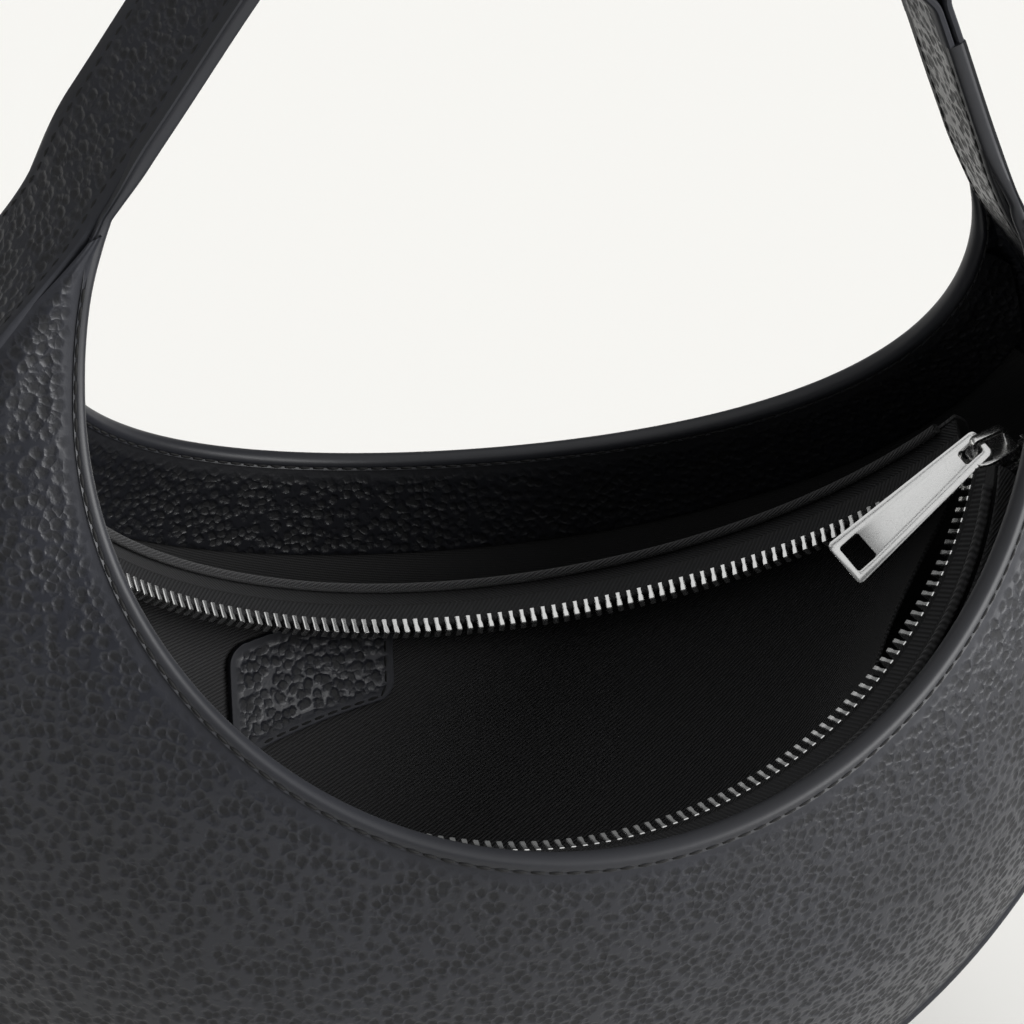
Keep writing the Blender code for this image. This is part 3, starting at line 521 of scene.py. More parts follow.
# The strap's left leg is turned towards the front: it leans out, most of all along its back edge
lean = {
    "low": 0.186,
    "full": 0.238,
    "hold": 0.266,
    "top": 0.331,
    "frontShift": 0.0024,
    "backShift": 0.0135,
    "fadeFrom": 0.014,
    "fadeOver": 0.045,
}


def leaned(piece):
    co = np.zeros(len(piece.data.vertices) * 3)
    piece.data.vertices.foreach_get("co", co)
    x, y, z = co.reshape(-1, 3).T
    rise = eased((z - lean["low"]) / (lean["full"] - lean["low"]))
    rise = rise * (1 - eased((z - lean["hold"]) / (lean["top"] - lean["hold"])))
    across = np.clip(y / bag["strapWidth"] + 0.5, 0, 1)
    shift = lean["frontShift"] + (lean["backShift"] - lean["frontShift"]) * across
    near = 1 - eased((np.abs(y) - lean["fadeFrom"]) / lean["fadeOver"])
    moved = np.stack([x - shift * rise * near * (x < 0), y, z], axis=1)
    piece.data.vertices.foreach_set("co", moved.ravel())
    piece.data.update()


def dressed(piece, material, body, nodes=(), sharpness=35):
    # the last step of each piece: finish, shading, what it rides on and the nodes that it stands for
    leaned(piece)
    piece.data.materials.clear()
    piece.data.materials.append(material)
    makeActive(piece)
    bpy.ops.object.shade_smooth_by_angle(angle=math.radians(sharpness))
    if nodes:
        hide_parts(*nodes)
    if isinstance(body, str):
        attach(piece, body)
    else:
        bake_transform(piece)
    return piece


def frameOf(place, ahead, up):
    # a matrix whose X runs ahead and whose Z points up, as nearly as it can
    ahead = Vector(ahead).normalized()
    side = Vector(up).cross(ahead).normalized()
    turn = Matrix((ahead, side, ahead.cross(side))).transposed().to_4x4()
    return Matrix.Translation(Vector(place)) @ turn


def repeated(name, pattern, places):
    # copies of one small piece, each turned and placed by its own matrix, in one mesh
    co = np.zeros(len(pattern.data.vertices) * 3)
    pattern.data.vertices.foreach_get("co", co)
    co = np.concatenate([co.reshape(-1, 3), np.ones((len(co) // 3, 1))], axis=1)
    faces = [tuple(face.vertices) for face in pattern.data.polygons]
    points, polygons = [], []
    for i, place in enumerate(places):
        points.append(co @ np.array(place).T[:, :3])
        polygons += [tuple(v + i * len(co) for v in face) for face in faces]
    mesh = bpy.data.meshes.new(name)
    mesh.from_pydata(np.concatenate(points).tolist(), [], polygons)
    mesh.update()
    piece = bpy.data.objects.new(name, mesh)
    bpy.context.scene.collection.objects.link(piece)
    bpy.data.objects.remove(pattern)
    return piece


# Pieces that cross the strap's bend, with the bag below and the strap above, and the pouch walls get these
# bends; dressed only bakes them in place, so they follow neither body
strapBend = ("bag", "strap", (0, 0, 0.235), (0, 0, 0.256))
pouchBends = {
    "front": ("bag", "front_zip_half", (0, 0, 0.0844), (0, -0.0403, 0.1125)),
    "back": ("bag", "back_zip_half", (0, 0, 0.0844), (0, 0.0403, 0.1125)),
}


# Finishes. Each effect that several of them use is a node group


def newGroup(name, amounts, results):
    # an effect: a vector and named amounts go in, and values come out
    group = bpy.data.node_groups.new(name, "ShaderNodeTree")
    group.interface.new_socket("Vector", in_out="INPUT", socket_type="NodeSocketVector")
    for label, value in amounts.items():
        socket = group.interface.new_socket(label, in_out="INPUT", socket_type="NodeSocketFloat")
        socket.default_value = value
    for label in results:
        group.interface.new_socket(label, in_out="OUTPUT", socket_type="NodeSocketFloat")
    entry = group.nodes.new("NodeGroupInput").outputs
    leave = group.nodes.new("NodeGroupOutput").inputs
    return group, entry, leave


def product(tree, a, b):
    return mathNode(tree, "MULTIPLY", a, b)


def waves(tree, value, rate=1.0):
    return mathNode(tree, "SINE", product(tree, value, rate * 2 * math.pi))


def mapped(tree, value, low, high, toLow=0.0, toHigh=1.0):
    node = tree.nodes.new("ShaderNodeMapRange")
    node.interpolation_type = "SMOOTHSTEP"
    for i, number in enumerate((value, low, high, toLow, toHigh)):
        feed(tree, node.inputs[i], number)
    return node.outputs[0]


def noiseNode(tree, vector, scale, detail=2.0, roughness=0.5):
    node = tree.nodes.new("ShaderNodeTexNoise")
    feed(tree, node.inputs["Vector"], vector)
    feed(tree, node.inputs["Scale"], scale)
    node.inputs["Detail"].default_value = detail
    node.inputs["Roughness"].default_value = roughness
    return node.outputs


def cellNode(tree, vector, scale):
    node = tree.nodes.new("ShaderNodeTexVoronoi")
    node.inputs["Randomness"].default_value = grain["randomness"]
    feed(tree, node.inputs["Vector"], vector)
    feed(tree, node.inputs["Scale"], scale)
    return node.outputs["Distance"]


def vectorNode(tree, operation, a, b=None, scale=None):
    node = tree.nodes.new("ShaderNodeVectorMath")
    node.operation = operation
    feed(tree, node.inputs[0], a)
    if b is not None:
        feed(tree, node.inputs[1], b)
    if scale is not None:
        feed(tree, node.inputs["Scale"], scale)
    return node.outputs[0]


grain = {
    "driftShare": 0.70,
    "drift": 0.0013,
    "wobbleShare": 2.6,
    "wobble": 0.0005,
    "patchShare": 0.42,
    "patchLow": 0.30,
    "patchHigh": 0.62,
    "poreShare": 7.0,
    "detail": 3.0,
    "smoothing": 0.95,
    "randomness": 0.80,
    "shallowest": 0.70,
    "pitNear": 0.24,
    "pitFar": 0.74,
    "darkNear": 0.12,
    "darkFar": 0.76,
    "pitWeight": 0.90,
    "poreWeight": 0.06,
    "mottleScale": 28.0,
}


def makeLeatherGrain():
    # pits in a raised net, deeper in some places, faded out where the leather is smooth; the pits are
    # darkened by painted shade
    amounts, results = {"Cells": 430.0, "Smooth": 0.0}, ["Height", "PaintedPitShade", "Mottle"]
    group, entry, leave = newGroup("leatherGrain", amounts, results)
    cells, vector = entry["Cells"], entry["Vector"]
    spot = vector
    for share, reach in (("driftShare", "drift"), ("wobbleShare", "wobble")):
        drift = noiseNode(group, vector, product(group, cells, grain[share]))
        drift = vectorNode(group, "SUBTRACT", drift["Color"], (0.5, 0.5, 0.5))
        spot = vectorNode(group, "ADD", spot, vectorNode(group, "SCALE", drift, scale=grain[reach]))
    centre = cellNode(group, spot, cells)
    pores = noiseNode(group, vector, product(group, cells, grain["poreShare"]), grain["detail"])["Fac"]
    patches = noiseNode(group, vector, product(group, cells, grain["patchShare"]))["Fac"]
    deep = mapped(group, patches, grain["patchLow"], grain["patchHigh"], grain["shallowest"], 1.0)
    sunk = product(group, mapped(group, centre, grain["pitFar"], grain["pitNear"]), deep)
    height = product(group, mathNode(group, "SUBTRACT", 1.0, sunk), grain["pitWeight"])
    left = mathNode(group, "SUBTRACT", 1.0, product(group, entry["Smooth"], grain["smoothing"]), clamp=True)
    height = product(group, height, left)
    height = mathNode(group, "ADD", height, product(group, pores, grain["poreWeight"]))
    # painted shade: the colour darkens in the pits, more where they are deep
    paintedPitShade = product(group, mapped(group, centre, grain["darkFar"], grain["darkNear"]), deep)
    group.links.new(height, leave["Height"])
    group.links.new(product(group, paintedPitShade, left), leave["PaintedPitShade"])
    group.links.new(noiseNode(group, vector, grain["mottleScale"], grain["detail"])["Fac"], leave["Mottle"])
    return group


weave = {
    "wobbleScale": 900.0,
    "wobble": 0.30,
    "ribWeight": 0.38,
    "floatRate": 1.5,
    "floatWeight": 0.12,
    "shadeLow": 0.8,
}


def makeTwill():
    # ribs that rise along the bag, each broken into short slanting floats
    group, entry, leave = newGroup("twillWeave", {"Ribs": 880.0, "Slope": 0.12}, ["Height", "Shade"])
    parts = group.nodes.new("ShaderNodeSeparateXYZ")
    group.links.new(entry["Vector"], parts.inputs[0])
    down, along = parts.outputs["X"], parts.outputs["Y"]
    slanted = mathNode(group, "ADD", down, product(group, along, entry["Slope"]))
    wobble = noiseNode(group, entry["Vector"], weave["wobbleScale"], 1.0)["Fac"]
    across = product(group, slanted, entry["Ribs"])
    across = mathNode(group, "ADD", across, product(group, wobble, weave["wobble"]))
    runs = product(group, mathNode(group, "SUBTRACT", down, along), entry["Ribs"])
    rib, floats = waves(group, across), waves(group, runs, weave["floatRate"])
    ribs, floats = product(group, rib, weave["ribWeight"]), product(group, floats, weave["floatWeight"])
    height = mathNode(group, "ADD", mathNode(group, "ADD", ribs, floats), 0.5, clamp=True)
    # the colour share: lower where the ribs are low, which is painted shade between the ribs, times a
    # random tone from the wobble
    shade = mapped(group, wobble, 0.2, 0.8, weave["shadeLow"], 1.0)
    group.links.new(height, leave["Height"])
    group.links.new(product(group, height, shade), leave["Shade"])
    return group


def makeHerringbone():
    # slanting ribs that turn back at every few millimetres across the tape, with a groove at each turn
    group, entry, leave = newGroup("herringbone", {"Ribs": 900.0, "Turns": 240.0}, ["Height"])
    parts = group.nodes.new("ShaderNodeSeparateXYZ")
    group.links.new(entry["Vector"], parts.inputs[0])
    fold = mathNode(group, "PINGPONG", product(group, parts.outputs["X"], entry["Turns"]), 1.0)
    slant = mathNode(group, "DIVIDE", fold, entry["Turns"])
    across = product(group, mathNode(group, "ADD", parts.outputs["Y"], slant), entry["Ribs"])
    height = mathNode(group, "ADD", product(group, waves(group, across), 0.4), 0.5)
    fromMiddle = mathNode(group, "ABSOLUTE", mathNode(group, "SUBTRACT", fold, 0.5))
    groove = mapped(group, fromMiddle, 0.40, 0.5, 0.0, 0.35)
    group.links.new(mathNode(group, "SUBTRACT", height, groove, clamp=True), leave["Height"])
    return group


def makeMetalWear():
    # faint scuffs and handling marks on polished metal
    group, entry, leave = newGroup("metalWear", {}, ["Scuff", "Height"])
    stretched = vectorNode(group, "MULTIPLY", entry["Vector"], (1.0, 5.0, 1.0))
    fine = noiseNode(group, stretched, 2600.0, 3.0)["Fac"]
    broad = noiseNode(group, entry["Vector"], 240.0)["Fac"]
    group.links.new(product(group, mapped(group, fine, 0.45, 0.75), broad), leave["Scuff"])
    group.links.new(fine, leave["Height"])
    return group


leatherGrain = makeLeatherGrain()
twillWeave = makeTwill()
herringbone = makeHerringbone()
metalWear = makeMetalWear()

# each leather's second colour is painted shade for its pits; the cloth's and the tape's dark colour is
# painted shade in the low parts of their weave
finishes = {
    "outer": {
        "colour": (0.0155, 0.0166, 0.0220),
        "paintedPitShade": (0.0026, 0.0028, 0.0040),
        "rough": (0.36, 0.64),
        "gloss": 0.40,
        "cells": 470.0,
        "relief": 0.00032,
    },
    "inner": {
        "colour": (0.0096, 0.0100, 0.0122),
        "paintedPitShade": (0.0018, 0.0019, 0.0026),
        "rough": (0.30, 0.58),
        "gloss": 0.40,
        "cells": 480.0,
        "relief": 0.00028,
    },
    "smooth": {
        "colour": (0.0150, 0.0158, 0.0196),
        "paintedPitShade": (0.0110, 0.0115, 0.0142),
        "rough": (0.34, 0.46),
        "gloss": 0.45,
        "cells": 520.0,
        "relief": 0.00012,
    },
    "cloth": {
        "colour": (0.0420, 0.0420, 0.0445),
        "dark": (0.0008, 0.0008, 0.0010),
        "rough": 0.76,
        "sheen": 0.12,
        "ribs": 1300.0,
        "slope": 0.50,
        "relief": 0.00034,
    },
    "lining": {
        "colour": (0.0060, 0.0060, 0.0066),
        "dark": (0.0030, 0.0030, 0.0034),
        "rough": 0.80,
        "sheen": 0.12,
        "ribs": 1500.0,
        "slope": 0.12,
        "relief": 0.00008,
    },
    "tape": {
        "colour": (0.0160, 0.0162, 0.0178),
        "dark": (0.0024, 0.0024, 0.0028),
        "rough": 0.74,
        "relief": 0.00030,
    },
    "thread": {
        "colour": (0.0022, 0.0022, 0.0026),
        "dark": (0.0008, 0.0008, 0.0010),
        "rough": 0.82,
        "fibres": 5200.0,
        "detail": 2.0,
        "relief": 0.00005,
    },
    "silver": {
        "colour": (0.86, 0.86, 0.85),
        "worn": (0.76, 0.76, 0.75),
        "rough": (0.20, 0.32),
        "relief": 0.000003,
    },
    "board": {
        "colour": (0.22, 0.21, 0.20),
        "dark": (0.14, 0.13, 0.12),
        "rough": 0.88,
        "fibres": 900.0,
        "detail": 4.0,
        "relief": 0.0001,
    },
}


def newMaterial(name, place, group=None):
    # a material, its nodes, and the effect that it shows or the coordinates that it reads
    material = bpy.data.materials.new(name)
    material.use_nodes = True
    tree = material.node_tree
    spot = tree.nodes.new("ShaderNodeTexCoord").outputs[place]
    if group is None:
        return material, tree, spot
    effect = tree.nodes.new("ShaderNodeGroup")
    effect.node_tree = group
    tree.links.new(spot, effect.inputs["Vector"])
    return material, tree, effect


def surfaced(material, look, colour, rough, height, label=None, amount=0.0):
    # colour, roughness and bump of a material, and one more amount by its label
    tree = material.node_tree
    shader = tree.nodes["Principled BSDF"].inputs
    feed(tree, shader["Base Color"], colour)
    feed(tree, shader["Roughness"], rough)
    if label:
        shader[label].default_value = amount
    bump = tree.nodes.new("ShaderNodeBump")
    bump.inputs["Distance"].default_value = look["relief"]
    tree.links.new(height, bump.inputs["Height"])
    tree.links.new(bump.outputs["Normal"], shader["Normal"])
    return material


def toned(tree, share, first, second):
    return mixed(tree, share, (*first, 1.0), (*second, 1.0))


def leatherMaterial(name, look, smoothAll=False):
    material, tree, effect = newMaterial(name, "Object", leatherGrain)
    effect.inputs["Cells"].default_value = look["cells"]
    if smoothAll:
        effect.inputs["Smooth"].default_value = 1.0
    else:
        mark = tree.nodes.new("ShaderNodeAttribute")
        mark.attribute_name = "smoothLeather"
        tree.links.new(mark.outputs["Fac"], effect.inputs["Smooth"])
    light = tuple(channel * 1.25 for channel in look["colour"])
    worn = toned(tree, mapped(tree, effect.outputs["Mottle"], 0.35, 0.7), look["colour"], light)
    # painted shade: the pits take the darker colour
    colour = mixed(tree, effect.outputs["PaintedPitShade"], worn, (*look["paintedPitShade"], 1.0))
    low, high = look["rough"]
    rough = mapped(tree, effect.outputs["Height"], 0.1, 0.9, high, low)
    height = effect.outputs["Height"]
    return surfaced(material, look, colour, rough, height, "Specular IOR Level", look["gloss"])


def clothMaterial(name, look):
    material, tree, effect = newMaterial(name, "UV", twillWeave)
    effect.inputs["Ribs"].default_value = look["ribs"]
    effect.inputs["Slope"].default_value = look["slope"]
    # painted shade: the cloth darkens between its ribs, with a random tone on top
    colour = toned(tree, effect.outputs["Shade"], look["dark"], look["colour"])
    height = effect.outputs["Height"]
    return surfaced(material, look, colour, look["rough"], height, "Sheen Weight", look["sheen"])


def tapeMaterial(name, look):
    material, tree, effect = newMaterial(name, "UV", herringbone)
    # painted shade: the tape darkens where its ribs and grooves are low
    colour = toned(tree, effect.outputs["Height"], look["dark"], look["colour"])
    return surfaced(material, look, colour, look["rough"], effect.outputs["Height"])


def silverMaterial(name, look):
    material, tree, effect = newMaterial(name, "Object", metalWear)
    colour = toned(tree, effect.outputs["Scuff"], look["colour"], look["worn"])
    low, high = look["rough"]
    rough = mapped(tree, effect.outputs["Scuff"], 0.0, 0.5, low, high)
    return surfaced(material, look, colour, rough, effect.outputs["Height"], "Metallic", 1.0)


def fibreMaterial(name, look):
    # thread and board: fine fibres, without a weave
    material, tree, spot = newMaterial(name, "Object")
    fibres = noiseNode(tree, spot, look["fibres"], look["detail"])["Fac"]
    colour = toned(tree, mapped(tree, fibres, 0.35, 0.65), look["dark"], look["colour"])
    return surfaced(material, look, colour, look["rough"], fibres)


outerLeather = leatherMaterial("outerLeather", finishes["outer"])
innerLeather = leatherMaterial("innerLeather", finishes["inner"])
smoothLeather = leatherMaterial("smoothLeather", finishes["smooth"], smoothAll=True)
twillCloth = clothMaterial("twillCloth", finishes["cloth"])
liningCloth = clothMaterial("liningCloth", finishes["lining"])
tapeCloth = tapeMaterial("tapeCloth", finishes["tape"])
blackThread = fibreMaterial("blackThread", finishes["thread"])
silverMetal = silverMaterial("silverMetal", finishes["silver"])
greyBoard = fibreMaterial("greyBoard", finishes["board"])
print("stage: finishes")


# Stitches, copied along a line at an even pitch

stitch = {"pitch": 0.0035, "length": 0.0027, "width": 0.00062, "dip": 0.00030, "lift": 0.00004, "spare": 1}


def stitchPattern():
    # one stitch: a short round bar whose two ends dip into the leather
    deselectAll()
    turn, radius = (0, math.pi / 2, 0), stitch["width"] / 2
    bpy.ops.mesh.primitive_cylinder_add(vertices=6, radius=radius, depth=stitch["length"], rotation=turn)
    piece = bpy.context.active_object
    bpy.ops.object.transform_apply(location=True, rotation=True, scale=True)
    rounded(piece, stitch["width"] / 5, 1, 60)
    inEditMode(piece, [lambda: bpy.ops.mesh.bisect(plane_co=(0, 0, 0), plane_no=(1, 0, 0))])
    for vertex in piece.data.vertices:
        vertex.co.z -= stitch["dip"] * (vertex.co.x / (stitch["length"] / 2)) ** 2
    return piece


def stitchRow(name, path, normals, body):
    path, normals = np.array(path), np.array(normals)
    run = runAlong(path)
    count = max(int(run[-1] / stitch["pitch"]) - 2 * stitch["spare"], 1)
    start = (run[-1] - count * stitch["pitch"]) / 2
    places = []
    for at in start + (np.arange(count) + 0.5) * stitch["pitch"]:
        ends = (at - stitch["length"] / 2, at + stitch["length"] / 2)
        low, high = (np.array([np.interp(end, run, path[:, k]) for k in range(3)]) for end in ends)
        up = np.array([np.interp(at, run, normals[:, k]) for k in range(3)])
        up /= np.linalg.norm(up)
        places.append(frameOf((low + high) / 2 + up * stitch["lift"], high - low, up))
    return dressed(repeated(name, stitchPattern(), places), blackThread, body, sharpness=60)


# Outer panels, facings and linings

sheets = {
    "forkSkip": 2,
    "panelTop": 0.0022,
    "panelTopShare": 0.30,
    "panelRows": 44,
    "edge": 0.0005,
    "rimMargin": 0.0062,
    "seamMargin": 0.0045,
    "seamSmooth": 0.85,
    "sag": 0.0007,
    "swells": ((23, 5, 0.0, 0.6), (41, -9, 1.3, 0.4)),
    "facingRows": 14,
    "facingStop": 0.009,
    "facingReach": 0.0215,
    "facingTop": 0.0024,
    "liningHem": 0.004,
    "liningTuck": 0.003,
    "liningGap": 0.0001,
    "liningCloth": 0.0008,
    "liningRows": 20,
    "liningFlat": (0.27, 0.17),
    "liningArea": 0.0230,
}


def spreadDowns(low, high, rows):
    # running lengths down each column, closer together near both ends
    share = np.linspace(0, 1, rows)
    share = 0.5 * share + 0.5 * eased(share)
    return low[:, None] + (high - low)[:, None] * share[None, :]


def sheetOnPanel(side, kind, columns, low, high, near, thickness, sag=0.0):
    # a sheet below a panel's face, between two running lengths down each column
    shape = panels[side]
    downs = spreadDowns(low, high, sheets[kind + "Rows"])
    depths = np.full_like(downs, near)
    if sag:
        # soft unevenness that dies out at the rim and the seam
        across = np.array(columns)[:, None] / panelColumns
        share = (downs - low[:, None]) / (high - low)[:, None]
        swell = sum(np.sin(across * a + share * b + c) * part for a, b, c, part in sheets["swells"])
        depths = depths + sag * swell * np.sin(np.pi * share) ** 2
    places = onSide(side, panelPlaces(shape, columns, downs, depths))
    marks, edge = None, thickness / 3
    if kind != "lining":
        fromSeam = shape["spans"][list(columns)][:, None] - downs
        nearRim = 1 - eased((downs - sheets["rimMargin"] * 0.6) / (sheets["rimMargin"] * 0.6))
        nearSeam = 1 - eased((fromSeam - sheets["seamMargin"] * 0.3) / (sheets["seamMargin"] * 0.7))
        marks, edge = np.maximum(nearRim, nearSeam * sheets["seamSmooth"]), sheets["edge"]
    if side == "back":
        places = places[::-1]
        marks = None if marks is None else marks[::-1]
    return sheetPiece(side + kind.title(), places, thickness, edge, marks)


def longerThan(side, length):
    return [i for i, span in enumerate(panels[side]["spans"]) if span > length]


def addShell():
    top = bag["bindingHeight"] + bag["seatGap"]
    low = top + sheets["facingReach"]
    near = bag["panelLeather"] + bag["seatGap"]
    for side in bag["rims"]:
        spans = panels[side]["spans"]
        columns = range(sheets["forkSkip"], panelColumns - sheets["forkSkip"])
        stop = spans[list(columns)]
        start = np.minimum(sheets["panelTop"], stop * sheets["panelTopShare"])
        panel = sheetOnPanel(side, "panel", columns, start, stop, 0.0, bag["panelLeather"], sheets["sag"])
        dressed(panel, outerLeather, "bag", [side + "_panel"])

        columns = longerThan(side, top + 2 * sheets["facingStop"])
        start = np.full(len(columns), sheets["facingTop"])
        stop = np.minimum(low, spans[columns] - sheets["facingStop"])
        facing = sheetOnPanel(side, "facing", columns, start, stop, near, bag["innerLeather"])
        dressed(facing, innerLeather, "bag", [side + "_facing"])

        columns = longerThan(side, low + 3 * sheets["liningHem"])
        start = np.full(len(columns), low - sheets["liningTuck"])
        stop = spans[columns] - sheets["liningHem"]
        depth = near + sheets["liningGap"]
        lining = sheetOnPanel(side, "lining", columns, start, stop, depth, sheets["liningCloth"])
        dressed(lining, liningCloth, "bag", [side + "_lining"])


addShell()
print("stage: panels, facings and linings")


# Strap and gusset: one loop of leather, with its folds round the ring

loop = {
    "ringHeight": 0.271,
    "ringWire": 0.0044,
    "ringPitch": 0.0145,
    "ringSideGap": 0.0004,
    "ringCorner": 0.0033,
    "foldEase": 0.0008,
    "foldLeg": 0.017,
    "foldTaper": 0.009,
    "foldSteps": 18,
    "flangeOverlap": 0.0028,
    "flangeAbove": 0.004,
    "flangeRamp": 0.026,
    "thinHeight": 0.240,
    "thinOver": 0.012,
    "liningHeight": 0.222,
    "liningOver": 0.012,
    "liningInset": 0.0002,
    "stations": 420,
    "longStations": 260,
    "shortStations": 90,
    "insets": (0.0003, 0.0009, 0.0016, 0.0021, 0.0024, 0.0028, 0.0034, 0.0046),
    "evenFrom": 0.006,
    "crown": 0.00022,
    "crownReach": 0.0012,
    "smoothFrom": 0.0020,
    "smoothOver": 0.0022,
    "shoulder": 0.22,
    "stitchInset": 0.0024,
    "stitchGroove": 0.00014,
    "grooveReach": 0.0005,
    "sideFacingLow": 0.168,
    "edgeProud": 0.00035,
    "edgeDeep": 0.0016,
    "edgeSpare": 0.0001,
}
barRun = runAtHeight(loop["ringHeight"])
highBarRun = barRun + loop["ringPitch"]
layersDeep = bag["strapLeather"] + bag["seatGap"] + bag["innerLeather"]


def foldPath(bar, way):
    # a strap end folded round a bar: places along the loop with the depth of the leather's middle
    middle = layersDeep / 2
    radius = loop["ringWire"] / 2 + loop["foldEase"] + bag["strapLeather"] / 2
    outer = bag["strapLeather"] / 2
    inner = bag["strapLeather"] + bag["seatGap"] + bag["strapLeather"] / 2
    local = []
    for share in np.linspace(0, 1, loop["foldSteps"] // 2 + 1):
        local.append((-loop["foldTaper"] * (1 - share), outer + (middle - radius - outer) * eased(share)))
    for angle in np.linspace(0, math.pi, loop["foldSteps"] + 1)[1:-1]:
        local.append((radius * math.sin(angle), middle - radius * math.cos(angle)))
    rise = inner - middle - radius
    for share in np.linspace(0, 1, loop["foldSteps"] // 2 + 1):
        local.append((-loop["foldTaper"] * share, middle + radius + rise * eased(share)))
    for share in np.linspace(0, 1, 5)[1:]:
        local.append((-loop["foldTaper"] - (loop["foldLeg"] - loop["foldTaper"]) * share, inner))
    return [(bar + way * ahead, depth) for ahead, depth in local]


def bandHalf(height):
    # half the outer band's width: the strap's, then the gusset's with the flange that covers the seam
    grown = float(eased((bag["forkHeight"] + loop["flangeAbove"] - height) / loop["flangeRamp"]))
    return gussetHalf(height) + loop["flangeOverlap"] * grown


def outerThickness(height):
    # the gusset's leather is thicker than the strap's
    share = float(eased((loop["thinHeight"] - height) / loop["thinOver"]))
    return bag["strapLeather"] + (bag["gussetLeather"] - bag["strapLeather"]) * share


def bandRings(path, halves, thicknesses):
    # rounded rings across a band along a path in the X-Z plane, with marks for its smooth edges
    path = np.array(path)
    ahead = unit(np.gradient(path, axis=0))
    normals = np.stack([ahead[:, 1], -ahead[:, 0]], axis=1)
    insets, even = np.array(loop["insets"]), loop["evenFrom"]
    rings, marks = [], []
    for point, normal, half, thick in zip(path, normals, halves, thicknesses):
        middle = np.linspace(-half + even, half - even, 7)
        sides = np.concatenate([-half + insets, middle, half - insets[::-1]])
        fromEdge = half - np.abs(sides)
        fromStitch = (fromEdge - loop["stitchInset"]) / loop["grooveReach"]
        groove = loop["stitchGroove"] * np.exp(-(fromStitch**2))
        crown = loop["crown"] * (1 - eased(fromEdge / loop["crownReach"]))
        smooth = 1 - eased((fromEdge - loop["smoothFrom"]) / loop["smoothOver"])
        face = [(y, thick / 2 - g - c, s) for y, g, c, s in zip(sides, groove, crown, smooth)]
        back = [(y, -thick / 2 + c, s) for y, c, s in zip(sides[::-1], crown[::-1], smooth[::-1])]
        edge = thick * loop["shoulder"]
        right, left = [(half, edge, 1.0), (half, -edge, 1.0)], [(-half, -edge, 1.0), (-half, edge, 1.0)]
        ring = face + right + back + left
        rings.append([(point[0] + normal[0] * out, y, point[1] + normal[1] * out) for y, out, s in ring])
        marks.append([s for y, out, s in ring])
    return np.array(rings), np.array(marks)


def addOuterBand():
    start, stop = barRun - loop["foldTaper"], highBarRun + loop["foldTaper"] - 2 * outlineLength
    between = [(run, None) for run in np.linspace(start, stop, loop["stations"])[1:-1]]
    turned = [(run - 2 * outlineLength, depth) for run, depth in foldPath(highBarRun, -1)]
    path, halves, thicknesses = [], [], []
    for run, depth in foldPath(barRun, 1)[::-1] + between + turned:
        height = loopPoint(run)[1]
        thick = outerThickness(height)
        path.append(onLoop(run, thick / 2 if depth is None else depth))
        halves.append(bandHalf(height))
        thicknesses.append(thick)
    rings, marks = bandRings(path, halves, thicknesses)
    piece = sweptPiece("strapAndGusset", rings, marks)
    dressed(piece, outerLeather, strapBend, ["gusset_band", "strap_short", "strap_long"])


def liningHalf(height):
    low = gussetHalf(height) - bag["seamSink"]
    share = float(eased((height - loop["liningHeight"]) / loop["liningOver"]))
    return low + (bag["strapWidth"] / 2 - loop["liningInset"] - low) * share


def addInnerBand(name, runs, nodes):
    path, halves = [], []
    for run in runs:
        height = loopPoint(run)[1]
        path.append(onLoop(run, outerThickness(height) + bag["seatGap"] + bag["innerLeather"] / 2))
        halves.append(liningHalf(height))
    # the band's inner face is the one that shows, so its rings are turned over
    rings, marks = bandRings(path[::-1], halves[::-1], [bag["innerLeather"]] * len(path))
    piece = sweptPiece(name, rings, marks)
    dressed(piece, innerLeather, strapBend, nodes)


def addLoop():
    addOuterBand()
    low, reach = runAtHeight(loop["sideFacingLow"]), loop["foldLeg"] + bag["seatGap"]
    runs = np.linspace(2 * outlineLength - low, highBarRun + reach, loop["longStations"])
    addInnerBand("longStrapLining", runs, ["left_side_facing", "strap_long_lining"])
    runs = np.linspace(low, barRun - reach, loop["shortStations"])
    addInnerBand("shortStrapLining", runs, ["right_side_facing", "strap_short_lining"])


addLoop()
print("stage: strap and gusset")


# Edge bands: a rounded smooth band over each rim of the mouth, on along both edges of the strap

band = {
    "capDown": 0.0016,
    "proud": 0.0003,
    "hem": 0.00012,
    "hemSink": 0.0001,
    "groove": 0.00026,
    "grooveSteps": (0.00030, 0.00035, 0.0007),
    "stitchDown": 0.0027,
    "stitchSink": 0.00004,
    "stitchSpan": 0.009,
    "forkReach": 0.016,
    "forkShare": 0.45,
    "forkHigh": 0.0006,
    "shortStations": 60,
    "longStations": 200,
}


def bandProfile(height, deep, proud):
    # (down, depth) round the band: outer leg, crest, inner leg
    scale = height / bag["bindingHeight"]
    stitchAt = band["stitchDown"] * scale
    below, above, top = (step * scale for step in band["grooveSteps"])
    leg = [
        (height, band["hemSink"]),
        (height - band["hem"], -proud),
        (stitchAt + below, -proud * 0.8),
        (stitchAt, -proud + band["groove"]),
        (stitchAt - above, -proud),
        (stitchAt - top, -proud * 1.1),
    ]
    cap = []
    for angle in np.linspace(0, math.pi, 13):
        down = band["capDown"] * scale * (1 - math.sin(angle))
        cap.append((down, deep / 2 - (deep / 2 + proud) * math.cos(angle)))
    inner = [(down, deep - depth) for down, depth in leg[::-1]]
    return leg + cap + inner


def strapEdgeRing(run, side):
    # the same profile along the strap's edge: down runs to the outer face, depth into the strap
    spare = loop["edgeSpare"]
    profile = bandProfile(layersDeep + spare, loop["edgeDeep"], loop["edgeProud"])
    point, normal = onLoop(run, layersDeep + spare / 2), loopNormal(run)
    ring = []
    for down, depth in profile:
        x, z = point + normal * down
        ring.append((x, -(bag["strapWidth"] / 2 - depth), z))
    return onSide(side, np.array(ring))


